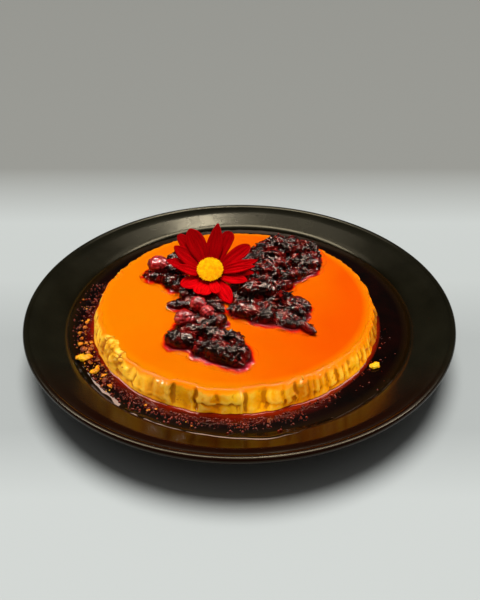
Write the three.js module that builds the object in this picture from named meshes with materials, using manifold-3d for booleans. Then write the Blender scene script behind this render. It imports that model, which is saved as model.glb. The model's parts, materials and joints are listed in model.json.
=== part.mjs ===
// A round creme caramel flan on a wide-rimmed black plate: a thin turned-out custard with a caramel layer on
// top, a ring of loose caramel round its foot, three spoonfuls of dark berry compote with whole red berries,
// and a red daisy laid on the compote. Millimetres, +Z up, origin on the table at the centre of the foot.
import * as THREE from "three";
import { mergeVertices } from "three/addons/utils/BufferGeometryUtils.js";
import Module from "manifold-3d";

const wasm = await Module();
wasm.setup();

// ---- Driving dimensions ----

const GAP = 0.3; // clearance between touching pieces
const FULL_TURN = 2 * Math.PI;
const GOLDEN_TURN = Math.PI * (3 - Math.sqrt(5));

const plate = {
  height: 30,
  lip: { radius: 150, crestRadius: 147.6, edge: 4.2 },
  rim: { innerRadius: 126.6, innerHeight: 19.2, wall: 4.6 },
  well: { floorRadius: 116, floorHeight: 10.5, filletRadius: 8 },
  foot: { innerRadius: 77, outerRadius: 83, recess: 5.4 },
  segments: 48,
};

const flan = {
  centre: { x: -2.7, y: -4.6 },
  baseRadius: 103,
  topRadius: 96.2,
  top: 29.1,
  pleats: 52,
  pleatDepth: 1.3,
  segments: 156,
};

const caramel = { layer: 1.3, poolLevel: 14.4, segments: 60 };

const heapBase = flan.top + GAP;

const flower = {
  centre: { x: -21.2, y: 5.9, z: 41.6 },
  tilt: THREE.MathUtils.degToRad(30),
  discRadius: 10,
  discHeight: 3.6,
  petalRoot: 6.6,
  petalThickness: 0.7,
  layerStep: 1.15,
  petalSteps: 5,
  petalStrips: 4,
};

// ---- Colours and finishes ----

const finish = (color, roughness, metalness = 0) =>
  new THREE.MeshStandardMaterial({ color, roughness, metalness });

const materials = {
  stoneware: finish(0x1b1a15, 0.35),
  custard: finish(0xe0a038, 0.45),
  caramelLayer: finish(0xff7c0a, 0.2),
  caramelSyrup: finish(0x3a0a02, 0.08),
  compote: finish(0x2a0609, 0.15),
  berry: finish(0x8c0f16, 0.15),
  petal: finish(0xd0020c, 0.55),
  disc: finish(0xf7b800, 0.7),
  calyx: finish(0x4f6a2a, 0.6),
};

// ---- Small helpers ----

// A repeatable draw of numbers from 0 to 1.
function seededDraw(seed) {
  let state = seed >>> 0;
  return () => {
    state = (state + 0x6d2b79f5) >>> 0;
    let t = Math.imul(state ^ (state >>> 15), 1 | state);
    t = (t + Math.imul(t ^ (t >>> 7), 61 | t)) ^ t;
    return ((t ^ (t >>> 14)) >>> 0) / 4294967296;
  };
}

function indexed(positions, triangles) {
  const geometry = new THREE.BufferGeometry();
  geometry.setAttribute("position", new THREE.Float32BufferAttribute(positions, 3));
  geometry.setIndex(triangles);
  return geometry;
}

// A closed skin over rings of points that run anticlockwise seen from above, lowest ring first, with a flat
// fan of triangles over each end.
function skinOfRings(rings) {
  const count = rings[0].length;
  const positions = [];
  const triangles = [];
  for (const ring of rings) for (const p of ring) positions.push(p.x, p.y, p.z);
  for (let k = 0; k + 1 < rings.length; k++) {
    for (let i = 0; i < count; i++) {
      const a = k * count + i;
      const b = k * count + ((i + 1) % count);
      triangles.push(a, b, b + count, a, b + count, a + count);
    }
  }
  const ends = [rings[0], rings[rings.length - 1]];
  ends.forEach((ring, end) => {
    const middle = ring.reduce((sum, p) => sum.add(p), new THREE.Vector3()).divideScalar(count);
    const hub = positions.length / 3;
    const first = end === 0 ? 0 : (rings.length - 1) * count;
    positions.push(middle.x, middle.y, middle.z);
    for (let i = 0; i < count; i++) {
      const a = first + i;
      const b = first + ((i + 1) % count);
      triangles.push(hub, end === 0 ? b : a, end === 0 ? a : b);
    }
  });
  return indexed(positions, triangles);
}

// A closed tube of section points round the flan's own centre. sectionAt gives the section at an angle,
// anticlockwise when seen with the radius to the right and the height upwards.
function skinOfSections(count, sectionAt) {
  const positions = [];
  const triangles = [];
  let size = 0;
  for (let i = 0; i < count; i++) {
    const section = sectionAt((FULL_TURN * i) / count);
    size = section.length;
    for (const p of section) positions.push(p.x, p.y, p.z);
  }
  for (let i = 0; i < count; i++) {
    for (let k = 0; k < size; k++) {
      const a = i * size + k;
      const b = i * size + ((k + 1) % size);
      const c = ((i + 1) % count) * size + k;
      const d = ((i + 1) % count) * size + ((k + 1) % size);
      triangles.push(a, c, d, a, d, b);
    }
  }
  return indexed(positions, triangles);
}

function bare(geometry) {
  const copy = geometry.clone();
  copy.deleteAttribute("normal");
  copy.deleteAttribute("uv");
  return mergeVertices(copy, 1e-4);
}

function toSolid(geometry) {
  const merged = bare(geometry);
  return new wasm.Manifold(
    new wasm.Mesh({
      numProp: 3,
      vertProperties: new Float32Array(merged.attributes.position.array),
      triVerts: new Uint32Array(merged.index.array),
    }),
  );
}

function toGeometry(solid) {
  const mesh = solid.getMesh();
  return indexed(Array.from(mesh.vertProperties), Array.from(mesh.triVerts));
}

function node(name, geometry, material) {
  const mesh = new THREE.Mesh(geometry, material);
  mesh.name = name;
  return mesh;
}

// ---- Plate ----

// One closed profile: out along the underside, round the foot, up under the rim, round the lip and back
// down the rim into the well.
function plateProfile() {
  const { height, lip, rim, well, foot } = plate;
  const lipFoot = height - lip.edge;
  const underside = well.floorHeight - rim.wall;
  const wellTop = rim.innerRadius - 2.9;
  const filletTop = Math.acos((wellTop - well.floorRadius) / well.filletRadius);
  const path = new THREE.Path();
  path.moveTo(0, foot.recess);
  path.lineTo(foot.innerRadius - 2, foot.recess);
  path.lineTo(foot.innerRadius, 0);
  path.lineTo(foot.outerRadius, 0);
  path.lineTo(foot.outerRadius + 2, underside);
  path.lineTo(well.floorRadius - 3, underside);
  path.quadraticCurveTo(wellTop, underside + 1, rim.innerRadius + 2, rim.innerHeight - rim.wall + 1);
  path.lineTo(lip.radius - 1.4, lipFoot - 0.5);
  path.lineTo(lip.radius, lipFoot + 0.8);
  path.lineTo(lip.radius, height - 1.6);
  path.quadraticCurveTo(lip.radius, height - 0.3, lip.crestRadius, height);
  path.lineTo(lip.crestRadius - 2.4, height - 1.1);
  path.lineTo(rim.innerRadius, rim.innerHeight);
  path.quadraticCurveTo(rim.innerRadius - 2.4, rim.innerHeight - 1, wellTop, rim.innerHeight - 2.8);
  path.absarc(
    well.floorRadius,
    well.floorHeight + well.filletRadius,
    well.filletRadius,
    -filletTop,
    -Math.PI / 2,
    true,
  );
  path.lineTo(0, well.floorHeight);
  return path.getPoints(2);
}

// Neighbouring points closer than this would only add slivers to the turned surface.
function withoutTwins(points, least = 0.05) {
  return points.filter((p, i) => i === 0 || p.distanceTo(points[i - 1]) > least);
}

function makePlate() {
  const geometry = new THREE.LatheGeometry(withoutTwins(plateProfile()), plate.segments);
  geometry.rotateX(Math.PI / 2);
  return node("plate", bare(geometry), materials.stoneware);
}

// ---- Custard, caramel layer and caramel pool ----

// A round tin is never quite round: slow departures from the circle, in mm.
function outOfRound(angle) {
  return 0.45 * Math.sin(2 * angle + 0.6) + 0.3 * Math.sin(3 * angle + 2.1) + 0.25 * Math.sin(5 * angle + 4);
}

// Pleats of the foil tin, unevenly spaced and unevenly deep, from -1 in a fold to 1 on a ridge.
function pleat(angle) {
  const spread = 2.2 * Math.sin(3 * angle + 1) + 1.4 * Math.sin(7 * angle);
  const depth = 0.65 + 0.35 * Math.sin(5 * angle + 2);
  return depth * Math.cos(flan.pleats * angle + spread);
}

// Radius of the custard's side about the flan's centre at an angle and a height. The pleats fade out where
// the side stands in the caramel.
function custardRadius(angle, z) {
  const share = (z - plate.well.floorHeight) / (flan.top - plate.well.floorHeight);
  const dry = Math.max(0, (z - caramel.poolLevel) / (flan.top - caramel.poolLevel));
  const straight = THREE.MathUtils.lerp(flan.baseRadius, flan.topRadius, share);
  const bulge = 0.8 * Math.sin(Math.PI * share);
  const depth = flan.pleatDepth * Math.sin(Math.PI * Math.min(0.86, 1.1 * dry));
  return straight + bulge + outOfRound(angle) + depth * pleat(angle);
}

function aroundFlan(radius, angle, z) {
  return new THREE.Vector3(
    flan.centre.x + radius * Math.cos(angle),
    flan.centre.y + radius * Math.sin(angle),
    z,
  );
}

function ringOfFlan(count, z, radiusAt) {
  return Array.from({ length: count }, (_, i) => {
    const angle = (FULL_TURN * i) / count;
    return aroundFlan(radiusAt(angle), angle, z);
  });
}

function makeCustard() {
  const foot = plate.well.floorHeight + GAP;
  const shoulder = flan.top - caramel.layer - GAP;
  const heights = [foot, caramel.poolLevel + 0.6, 19, 23.4, shoulder];
  const rings = heights.map((z) => ringOfFlan(flan.segments, z, (angle) => custardRadius(angle, z)));
  return node("custard", skinOfRings(rings), materials.custard);
}

// The caramel layer is a thin round sheet whose uneven edge stands a little proud of the custard and is
// rounded off towards the top.
function makeCaramelLayer() {
  const under = flan.top - caramel.layer;
  const edge = (angle) => flan.topRadius + outOfRound(angle) + 0.5 * Math.sin(11 * angle + 1.4);
  const ring = (z, beyond) => ringOfFlan(caramel.segments, z, (angle) => edge(angle) + beyond);
  const rings = [ring(under, 0.5), ring(under + 0.6, 1), ring(flan.top, -0.8)];
  return node("caramel_layer", skinOfRings(rings), materials.caramelLayer);
}

// Distance from the flan's centre to a circle about the plate's centre, along an angle.
function reachToPlateCircle(radius, angle) {
  const along = flan.centre.x * Math.cos(angle) + flan.centre.y * Math.sin(angle);
  const offset = flan.centre.x ** 2 + flan.centre.y ** 2;
  return -along + Math.sqrt(along ** 2 - offset + radius ** 2);
}

function makeCaramelPool() {
  const { floorRadius, floorHeight, filletRadius } = plate.well;
  const under = floorHeight + GAP;
  const hollow = filletRadius - GAP;
  const filletCentre = floorHeight + filletRadius;
  const shoreAngle = Math.asin((filletCentre - caramel.poolLevel) / hollow);
  const outerPoints = [Math.PI / 2, shoreAngle].map((down) => ({
    radius: floorRadius + hollow * Math.cos(down) - (down === Math.PI / 2 ? 1 : 0),
    z: filletCentre - hollow * Math.sin(down),
  }));
  const geometry = skinOfSections(caramel.segments, (angle) => [
    aroundFlan(custardRadius(angle, under) + 1.5 * GAP, angle, under),
    ...outerPoints.map((p) => aroundFlan(reachToPlateCircle(p.radius, angle), angle, p.z)),
    aroundFlan(custardRadius(angle, caramel.poolLevel) + 1.5 * GAP, angle, caramel.poolLevel),
  ]);
  return node("caramel_pool", geometry, materials.caramelSyrup);
}

// Crumbs of custard that float on the caramel at the flan's foot.
const crumbs = [
  { name: "custard_crumb_right", x: 86.6, y: -66.5, long: 7, wide: 5, tall: 3.2, turn: 25, seed: 3 },
  { name: "custard_crumb_left", x: -101.5, y: -58.6, long: 9.5, wide: 6, tall: 3.4, turn: -20, seed: 5 },
  { name: "custard_crumb_low_left", x: -91.2, y: -71.2, long: 6, wide: 4.4, tall: 3, turn: 40, seed: 8 },
];

function makeCrumb(crumb) {
  const afloat = caramel.poolLevel + GAP;
  const lump = placed(wrinkledFruit({ ...crumb, wrinkles: 3 }), crumb, afloat + 0.1 * crumb.tall);
  const cut = toSolid(lump).intersect(slabAbove(afloat));
  return node(crumb.name, toGeometry(cut), materials.custard);
}

// ---- Berry compote ----

// A soft wrinkled fruit: a ball drawn out to its three sizes, furrowed along its length, and drawn to a
// point at both ends where taper is above 0.
function wrinkledFruit({ long, wide, tall, wrinkles = 5, depth = 0.12, taper = 0, detail = 1, seed = 1 }) {
  const draw = seededDraw(seed);
  const phase = draw() * FULL_TURN;
  const twist = (draw() - 0.5) * 3;
  const ball = bare(new THREE.IcosahedronGeometry(1, detail));
  const p = new THREE.Vector3();
  for (let i = 0; i < ball.attributes.position.count; i++) {
    p.fromBufferAttribute(ball.attributes.position, i).normalize();
    const round = Math.atan2(p.z, p.y);
    const furrow = 1 + depth * Math.cos(wrinkles * round + phase + twist * p.x);
    const girth = furrow * (1 - taper * p.x * p.x) * (1 + 0.12 * Math.sin(5 * p.x + phase));
    ball.attributes.position.setXYZ(i, p.x * long * 0.5, p.y * girth * wide * 0.5, p.z * girth * tall * 0.5);
  }
  return ball;
}

// Turns a geometry about its own upright axis, leans it, and sets its centre at x, y and the height z.
function placed(geometry, { x, y, turn = 0, lean = 0 }, z) {
  const rotation = new THREE.Euler(0, THREE.MathUtils.degToRad(lean), THREE.MathUtils.degToRad(turn), "ZYX");
  const matrix = new THREE.Matrix4().makeRotationFromEuler(rotation).setPosition(x, y, z);
  return geometry.clone().applyMatrix4(matrix);
}

function slabAbove(z) {
  const side = 400;
  return toSolid(new THREE.BoxGeometry(side, side, side).translate(0, 0, z + side / 2));
}

// Each spoonful: flat cores of syrupy pulp, the larger fruit laid on them by hand, and loose skins strewn
// over a patch. lift is the height of a fruit's centre above the caramel layer.
const spoonfuls = {
  compote_left: {
    cores: [
      { x: -58, y: 18, long: 30, wide: 17, tall: 8, turn: -26 },
      { x: -49, y: 33, long: 34, wide: 22, tall: 11, turn: 80 },
      { x: -46, y: 9, long: 22, wide: 16, tall: 8, turn: 70 },
    ],
    fruit: [
      { x: -61, y: 14.5, long: 20, wide: 8, tall: 6, turn: -14, lift: 1.8 },
      { x: -67.5, y: 19, long: 14, wide: 5, tall: 3.8, turn: 10, lift: 1.4, taper: 0.7 },
      { x: -51, y: 8, long: 17, wide: 9, tall: 8, turn: -40, lift: 3, wrinkles: 4 },
      { x: -44.5, y: 2, long: 11, wide: 9, tall: 8, turn: 60, lift: 2.6 },
      { x: -51, y: 22, long: 18, wide: 10, tall: 9, turn: 15, lift: 4.4, wrinkles: 4 },
      { x: -52, y: 38, long: 17, wide: 9, tall: 8, turn: 65, lift: 4.4 },
      { x: -47, y: 46, long: 15, wide: 9, tall: 8, turn: 10, lift: 3.4 },
      { x: -42, y: 30, long: 16, wide: 10, tall: 8, turn: -60, lift: 3.6 },
    ],
    strewn: [],
  },
  compote_front: {
    cores: [
      { x: -32, y: -56, long: 30, wide: 24, tall: 8, turn: -12 },
      { x: -9, y: -69, long: 35, wide: 25, tall: 9, turn: -30 },
      { x: -27, y: -37, long: 32, wide: 27, tall: 9, turn: 80 },
      { x: -25, y: -12, long: 34, wide: 32, tall: 9, turn: 0 },
    ],
    fruit: [
      { x: -10.5, y: -73, long: 26, wide: 16, tall: 12, turn: -27, lift: 3.8, wrinkles: 6, detail: 2 },
      { x: -37, y: -60, long: 19, wide: 13, tall: 10, turn: -8, lift: 2.8 },
      { x: -24, y: -68.5, long: 13, wide: 9, tall: 7, turn: 60, lift: 2.4 },
      { x: -29.5, y: -53, long: 20, wide: 7, tall: 7, turn: 14, lift: 5.2, wrinkles: 3 },
      { x: -15, y: -58, long: 20, wide: 7, tall: 7, turn: -24, lift: 5.6, wrinkles: 3 },
      { x: -4, y: -60, long: 16, wide: 9, tall: 8, turn: -38, lift: 3.2 },
      { x: 1.5, y: -72, long: 14, wide: 9, tall: 8, turn: -66, lift: 2.6, wrinkles: 4 },
      { x: -2, y: -80, long: 12, wide: 8, tall: 6, turn: -10, lift: 1.8 },
      { x: -14.5, y: -42, long: 13, wide: 10, tall: 9, turn: 30, lift: 3.4, wrinkles: 4 },
      { x: -24, y: -46, long: 12, wide: 8, tall: 7, turn: -30, lift: 4.4 },
      { x: -43, y: -20.5, long: 15, wide: 6, tall: 4.5, turn: 8, lift: 1.8, taper: 0.7 },
      { x: -16.5, y: -25, long: 15, wide: 9, tall: 8, turn: -50, lift: 2.6 },
      { x: -38, y: -8, long: 15, wide: 9, tall: 8, turn: 80, lift: 3 },
    ],
    strewn: [],
  },
  compote_right: {
    cores: [
      { x: 37, y: 48, long: 58, wide: 48, tall: 19, turn: 0, detail: 2 },
      { x: 8, y: 40, long: 36, wide: 42, tall: 12, turn: 60 },
      { x: 12, y: 2, long: 60, wide: 42, tall: 9, turn: 80 },
      { x: 24, y: -30, long: 48, wide: 26, tall: 7, turn: -8 },
      { x: 46, y: 27, long: 34, wide: 22, tall: 8, turn: 24 },
    ],
    fruit: [
      { x: 13, y: -6.5, long: 27, wide: 19, tall: 13, turn: 10, lift: 4.8, wrinkles: 6, detail: 2 },
      { x: 4, y: -29, long: 22, wide: 13, tall: 10, turn: -18, lift: 2.8 },
      { x: 18.5, y: -36, long: 12, wide: 10, tall: 8, turn: 10, lift: 2.8 },
      { x: 35, y: -22, long: 28, wide: 11, tall: 9, turn: -62, lift: 3.6, wrinkles: 4 },
      { x: 42, y: -21, long: 18, wide: 10, tall: 7, turn: -45, lift: 2.6 },
      { x: 42.5, y: -45, long: 20, wide: 5.4, tall: 4.6, turn: -48, lift: 2, taper: 0.75 },
      { x: 33, y: -43, long: 14, wide: 6.5, tall: 5, turn: -18, lift: 1.8 },
      { x: 33, y: 3, long: 16, wide: 9, tall: 8, turn: 25, lift: 3 },
      { x: 41, y: 15, long: 19, wide: 9, tall: 8, turn: 24, lift: 3.2 },
      { x: 57, y: 32, long: 16, wide: 10, tall: 9, turn: 40, lift: 3.2 },
      { x: 22, y: 17, long: 18, wide: 11, tall: 9, turn: -20, lift: 4.6 },
      { x: 7, y: 14, long: 17, wide: 11, tall: 9, turn: 75, lift: 3.8 },
    ],
    strewn: [
      { x: 37, y: 49, long: 52, wide: 42, dome: 10.6, count: 16, seed: 11 },
      { x: 12, y: 42, long: 26, wide: 34, dome: 5.6, count: 4, seed: 29 },
    ],
  },
};

// The upright plane that parts the front spoonful from the right one under the daisy.
const parting = { x: -7, y: -29, turn: 27.8 };

// Skins strewn over an oval patch by the sunflower rule, so that they lie evenly but point every way.
function strewnSkins({ x, y, long, wide, dome, count, seed }) {
  const draw = seededDraw(seed);
  return Array.from({ length: count }, (_, i) => {
    const out = Math.sqrt((i + 0.5) / count);
    const angle = i * GOLDEN_TURN + seed;
    return {
      x: x + 0.5 * long * out * Math.cos(angle),
      y: y + 0.5 * wide * out * Math.sin(angle),
      long: 15 + 6 * draw(),
      wide: 6 + 2.5 * draw(),
      tall: 5.5 + 2 * draw(),
      turn: 180 * draw(),
      lean: 30 * (draw() - 0.5),
      lift: dome * (1 - 0.75 * out * out),
      wrinkles: 3 + Math.floor(3 * draw()),
      seed: seed + i,
    };
  });
}

// Whole red berries that sit in the compote.
const berries = [
  { name: "berry_left", x: -62, y: 24.4, lift: 7, long: 16, wide: 15, tall: 12.5, turn: 20, detail: 2 },
  { name: "berry_front_left", x: -36, y: -43, lift: 6.4, long: 13, wide: 12.4, tall: 11, detail: 2 },
  { name: "berry_front_upper", x: -27.8, y: -29, lift: 8, long: 11, wide: 10.6, tall: 10, turn: 10 },
  { name: "berry_front_right", x: -21.4, y: -36.4, lift: 6.4, long: 10, wide: 9.4, tall: 9, turn: 50 },
];

function berryGeometry(berry, growth = 0) {
  const grown = { ...berry, long: berry.long + growth, wide: berry.wide + growth, tall: berry.tall + growth };
  const ball = wrinkledFruit({ ...grown, wrinkles: 7, depth: 0.03, seed: 17 });
  return placed(ball, berry, heapBase + berry.lift);
}

// Everything beyond the parting plane, on the side that beyond points to, less half the clearance.
function sideOfParting(beyond) {
  const side = 400;
  const half = new THREE.BoxGeometry(side, side, side).translate(beyond * (side / 2 + GAP / 2), 0, 0);
  return toSolid(placed(half, parting, 0));
}

function makeSpoonful(name, { cores, fruit, strewn }, hollows) {
  const lumps = [
    ...cores.map((core) => placed(wrinkledFruit({ ...core, depth: 0.05 }), core, heapBase)),
    ...[...fruit, ...strewn.flatMap(strewnSkins)].map((piece, i) =>
      placed(wrinkledFruit({ seed: i + 1, ...piece }), piece, heapBase + piece.lift),
    ),
  ];
  let heap = wasm.Manifold.union(lumps.map(toSolid)).intersect(slabAbove(heapBase)).simplify(0.6);
  if (name === "compote_front") heap = heap.intersect(sideOfParting(-1));
  if (name === "compote_right") heap = heap.intersect(sideOfParting(1));
  for (const hollow of hollows) heap = heap.subtract(hollow);
  return node(name, toGeometry(largestBody(heap)), materials.compote);
}

// Cutting can leave scraps and slivers: the piece is the largest body, with what is finer than fine dropped.
function largestBody(solid, fine = 0.1) {
  const bodies = solid.decompose();
  return bodies.reduce((best, body) => (body.volume() > best.volume() ? body : best)).simplify(fine);
}

// ---- Daisy ----

// The petals, anticlockwise from the right: where each points, how far it reaches from the middle, its
// width, how steeply it rises beyond the yellow disc, and in which of three layers it lies.
const petals = [
  { turn: 7, reach: 33.6, width: 7, rise: 24, layer: 1 },
  { turn: 32, reach: 33.8, width: 10, rise: 22, layer: 0 },
  { turn: 64, reach: 33.2, width: 9.2, rise: 22, layer: 0 },
  { turn: 81.6, reach: 34.4, width: 11, rise: 25, layer: 1 },
  { turn: 117.7, reach: 33, width: 12.4, rise: 26, layer: 2 },
  { turn: 131, reach: 37, width: 8.2, rise: 20.5, layer: 0 },
  { turn: 148.4, reach: 30.1, width: 10, rise: 25, layer: 1 },
  { turn: 169.2, reach: 30.6, width: 9.4, rise: 21, layer: 0 },
  { turn: 186, reach: 21.5, width: 7.6, rise: 40, layer: 2 },
  { turn: 218, reach: 24.3, width: 10.4, rise: 30, layer: 0 },
  { turn: 256.6, reach: 24.4, width: 11.6, rise: 38, layer: 1 },
  { turn: 284, reach: 23.2, width: 7, rise: 36, layer: 2 },
  { turn: 300, reach: 30, width: 10, rise: 14, layer: 0 },
  { turn: 338, reach: 28.3, width: 8.4, rise: 20, layer: 1 },
  { turn: 353, reach: 30.8, width: 7, rise: 19, layer: 0 },
  { turn: 357, reach: 31.4, width: 6, rise: 27, layer: 2 },
];

// The points of a petal that lies along +X from its root: narrow where it leaves the head, widest past the
// middle, with a blunt tip, two furrows along it and raised edges. The top face comes first, then the
// underside on the same grid. above raises the top face, and beyond sets the edges and underside out.
function petalPoints({ reach, width, rise, layer, turn }, above, beyond) {
  const { petalRoot, petalThickness, petalSteps, petalStrips, layerStep } = flower;
  const climb = Math.tan(THREE.MathUtils.degToRad(rise));
  const rootHeight = layer * layerStep;
  const wave = 0.2 * Math.sin(turn);
  const positions = [];
  for (const drop of [-above, petalThickness + beyond]) {
    for (let i = 0; i <= petalSteps; i++) {
      const along = i / petalSteps;
      const outline = 0.3 + 0.7 * Math.sin(0.72 * Math.PI * Math.pow(along, 0.8));
      const tip = along > 0.8 ? Math.sqrt(1 - ((along - 0.8) / 0.215) ** 2) : 1;
      const half = 0.5 * width * outline * tip + beyond;
      const out = petalRoot + (reach - petalRoot + beyond) * along;
      const straight = Math.max(0, out - flower.discRadius - 0.8);
      const cupped = straight * climb - 0.004 * straight * straight;
      for (let j = 0; j <= petalStrips; j++) {
        const across = (2 * j) / petalStrips - 1;
        const furrows = 0.4 * across ** 2 - 0.25 * Math.sin(Math.PI * across) ** 2;
        const ripple = wave * Math.sin(5 * along + 2 * across) * along;
        const height = rootHeight + cupped + furrows * Math.sin(Math.PI * along) + ripple;
        positions.push(out, half * across, height - drop);
      }
    }
  }
  return positions;
}

// Both faces of a petal are split alike, and a strip of triangles closes each of its four edges.
function petalGeometry(petal, above = 0, beyond = 0) {
  const { petalSteps, petalStrips } = flower;
  const row = petalStrips + 1;
  const under = (petalSteps + 1) * row;
  const triangles = [];
  const quad = (a, b, c, d) => triangles.push(a, b, c, a, c, d);
  for (let i = 0; i < petalSteps; i++) {
    for (let j = 0; j < petalStrips; j++) {
      const a = i * row + j;
      quad(a, a + row, a + row + 1, a + 1);
      quad(under + a, under + a + 1, under + a + row + 1, under + a + row);
    }
    const right = i * row;
    const left = i * row + petalStrips;
    quad(right, under + right, under + right + row, right + row);
    quad(left, left + row, under + left + row, under + left);
  }
  for (let j = 0; j < petalStrips; j++) {
    const far = petalSteps * row + j;
    quad(j, j + 1, under + j + 1, under + j);
    quad(far, under + far, under + far + 1, far + 1);
  }
  return indexed(petalPoints(petal, above, beyond), triangles);
}

// The yellow middle: a low dome of packed florets, raised on alternate points.
function discGeometry() {
  const { discRadius, discHeight, layerStep } = flower;
  const foot = 2 * layerStep + 2 * GAP;
  const around = 22;
  const levels = 4;
  const rings = [];
  for (let k = 0; k <= levels; k++) {
    const slope = (Math.PI / 2) * Math.pow(k / (levels + 0.6), 0.9);
    rings.push(
      Array.from({ length: around }, (_, i) => {
        const angle = (FULL_TURN * (i + 0.5 * k)) / around;
        const bump = k > 0 ? 0.35 * Math.cos(Math.PI * (i + k)) : 0;
        const radius = (discRadius + bump) * Math.cos(slope);
        return new THREE.Vector3(
          radius * Math.cos(angle),
          radius * Math.sin(angle),
          foot + (discHeight + bump) * Math.sin(slope),
        );
      }),
    );
  }
  return skinOfRings(rings);
}

// The green cup under the petals, with the cut stub of the stalk.
function calyxGeometry() {
  const top = -flower.petalThickness - GAP;
  const profile = new THREE.Path();
  profile.moveTo(0, top - 6.4);
  profile.lineTo(1.8, top - 6.4);
  profile.lineTo(2, top - 4.6);
  profile.quadraticCurveTo(7.4, top - 4, 8.6, top);
  profile.lineTo(0, top);
  const geometry = new THREE.LatheGeometry(profile.getPoints(3), 14);
  geometry.rotateX(Math.PI / 2);
  return bare(geometry);
}

function makeDaisy() {
  const daisy = new THREE.Group();
  daisy.position.set(flower.centre.x, flower.centre.y, flower.centre.z);
  daisy.rotation.set(flower.tilt, 0, 0);
  petals.forEach((petal, i) => {
    const number = String(i + 1).padStart(2, "0");
    const mesh = node(`petal_${number}`, petalGeometry(petal), materials.petal);
    mesh.rotation.z = THREE.MathUtils.degToRad(petal.turn);
    daisy.add(mesh);
  });
  daisy.add(node("flower_disc", discGeometry(), materials.disc));
  daisy.add(node("flower_calyx", calyxGeometry(), materials.calyx));
  return daisy;
}

// What the daisy takes out of the compote: the cup, and all that stands above a petal.
function daisyHollows() {
  const intoPlace = (geometry) => {
    geometry.rotateX(flower.tilt);
    return toSolid(geometry.translate(flower.centre.x, flower.centre.y, flower.centre.z));
  };
  const petalRoom = (petal) => {
    const room = petalGeometry(petal, 12, GAP);
    return intoPlace(room.rotateZ(THREE.MathUtils.degToRad(petal.turn)));
  };
  return [intoPlace(calyxGeometry().scale(1.08, 1.08, 1.05)), ...petals.map(petalRoom)];
}

// ---- The whole dessert ----

function makeDessert() {
  const dessert = new THREE.Group();
  dessert.add(makePlate(), makeCustard(), makeCaramelLayer(), makeCaramelPool());
  crumbs.forEach((crumb) => dessert.add(makeCrumb(crumb)));
  const hollows = [...berries.map((berry) => toSolid(berryGeometry(berry, 2 * GAP))), ...daisyHollows()];
  for (const [name, spoonful] of Object.entries(spoonfuls)) {
    dessert.add(makeSpoonful(name, spoonful, hollows));
  }
  berries.forEach((berry) => dessert.add(node(berry.name, berryGeometry(berry), materials.berry)));
  dessert.add(makeDaisy());
  return dessert;
}

export default makeDessert();
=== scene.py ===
import bisect
import json
import math
import random

import bpy
from mathutils import Matrix, Vector, noise
from mathutils.bvhtree import BVHTree

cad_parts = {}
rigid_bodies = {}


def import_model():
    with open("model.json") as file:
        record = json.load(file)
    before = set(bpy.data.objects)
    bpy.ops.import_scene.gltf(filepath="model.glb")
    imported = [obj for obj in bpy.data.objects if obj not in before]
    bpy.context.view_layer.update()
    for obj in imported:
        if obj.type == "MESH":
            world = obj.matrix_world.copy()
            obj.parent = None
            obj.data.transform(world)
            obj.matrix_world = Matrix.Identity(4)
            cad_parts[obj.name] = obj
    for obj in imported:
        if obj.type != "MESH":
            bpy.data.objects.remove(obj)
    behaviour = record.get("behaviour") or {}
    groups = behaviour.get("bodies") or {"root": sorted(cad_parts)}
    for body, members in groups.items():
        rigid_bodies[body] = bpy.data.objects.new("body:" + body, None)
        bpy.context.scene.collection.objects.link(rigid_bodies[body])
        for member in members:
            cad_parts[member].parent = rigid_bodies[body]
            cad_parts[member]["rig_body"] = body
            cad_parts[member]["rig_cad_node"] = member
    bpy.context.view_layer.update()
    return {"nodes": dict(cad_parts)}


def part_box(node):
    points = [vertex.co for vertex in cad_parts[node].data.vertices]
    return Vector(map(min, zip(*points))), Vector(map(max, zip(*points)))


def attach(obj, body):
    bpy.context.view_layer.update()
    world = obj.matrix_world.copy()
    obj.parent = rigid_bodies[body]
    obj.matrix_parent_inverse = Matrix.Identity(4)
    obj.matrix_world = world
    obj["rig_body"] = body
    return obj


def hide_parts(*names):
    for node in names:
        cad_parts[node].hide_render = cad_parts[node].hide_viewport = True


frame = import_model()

mm = 0.001
fullTurn = 2 * math.pi
goldenTurn = math.pi * (3 - math.sqrt(5))
noise.seed_set(7)  # without a seed noise_vector gives another shape on each run


# Hand tools: what is picked up, what a modifier leaves, and how a piece joins the dessert.
def take(*pieces):
    if bpy.context.mode != "OBJECT":
        bpy.ops.object.mode_set(mode="OBJECT")
    bpy.ops.object.select_all(action="DESELECT")
    for piece in pieces:
        piece.select_set(True)
    if pieces:
        bpy.context.view_layer.objects.active = pieces[0]


def settle(piece):
    take(piece)
    bpy.ops.object.transform_apply(location=True, rotation=True, scale=True)


def modify(piece, kind, **settings):
    take(piece)
    modifier = piece.modifiers.new(kind.title(), kind)
    for name, value in settings.items():
        setattr(modifier, name, value)
    bpy.ops.object.modifier_apply(modifier=modifier.name)


# Lengths in mm as Blender's metres.
def metres(*lengths):
    return tuple(length * mm for length in lengths)


def reshape(piece, move):
    for vertex in piece.data.vertices:
        vertex.co = move(vertex.co)
    piece.data.update()


# Moves each vertex by push, in mm, which is given its normal and its place in mm.
def pushOut(piece, push):
    normals = [vertex.normal.copy() for vertex in piece.data.vertices]
    for vertex, normal in zip(piece.data.vertices, normals):
        vertex.co += push(normal, vertex.co / mm) * mm
    piece.data.update()


# A node's name as its piece has it: petal_01 as petal01.
def pieceName(nodeName):
    first, *rest = nodeName.split("_")
    return first + "".join(word.title() for word in rest)


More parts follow.
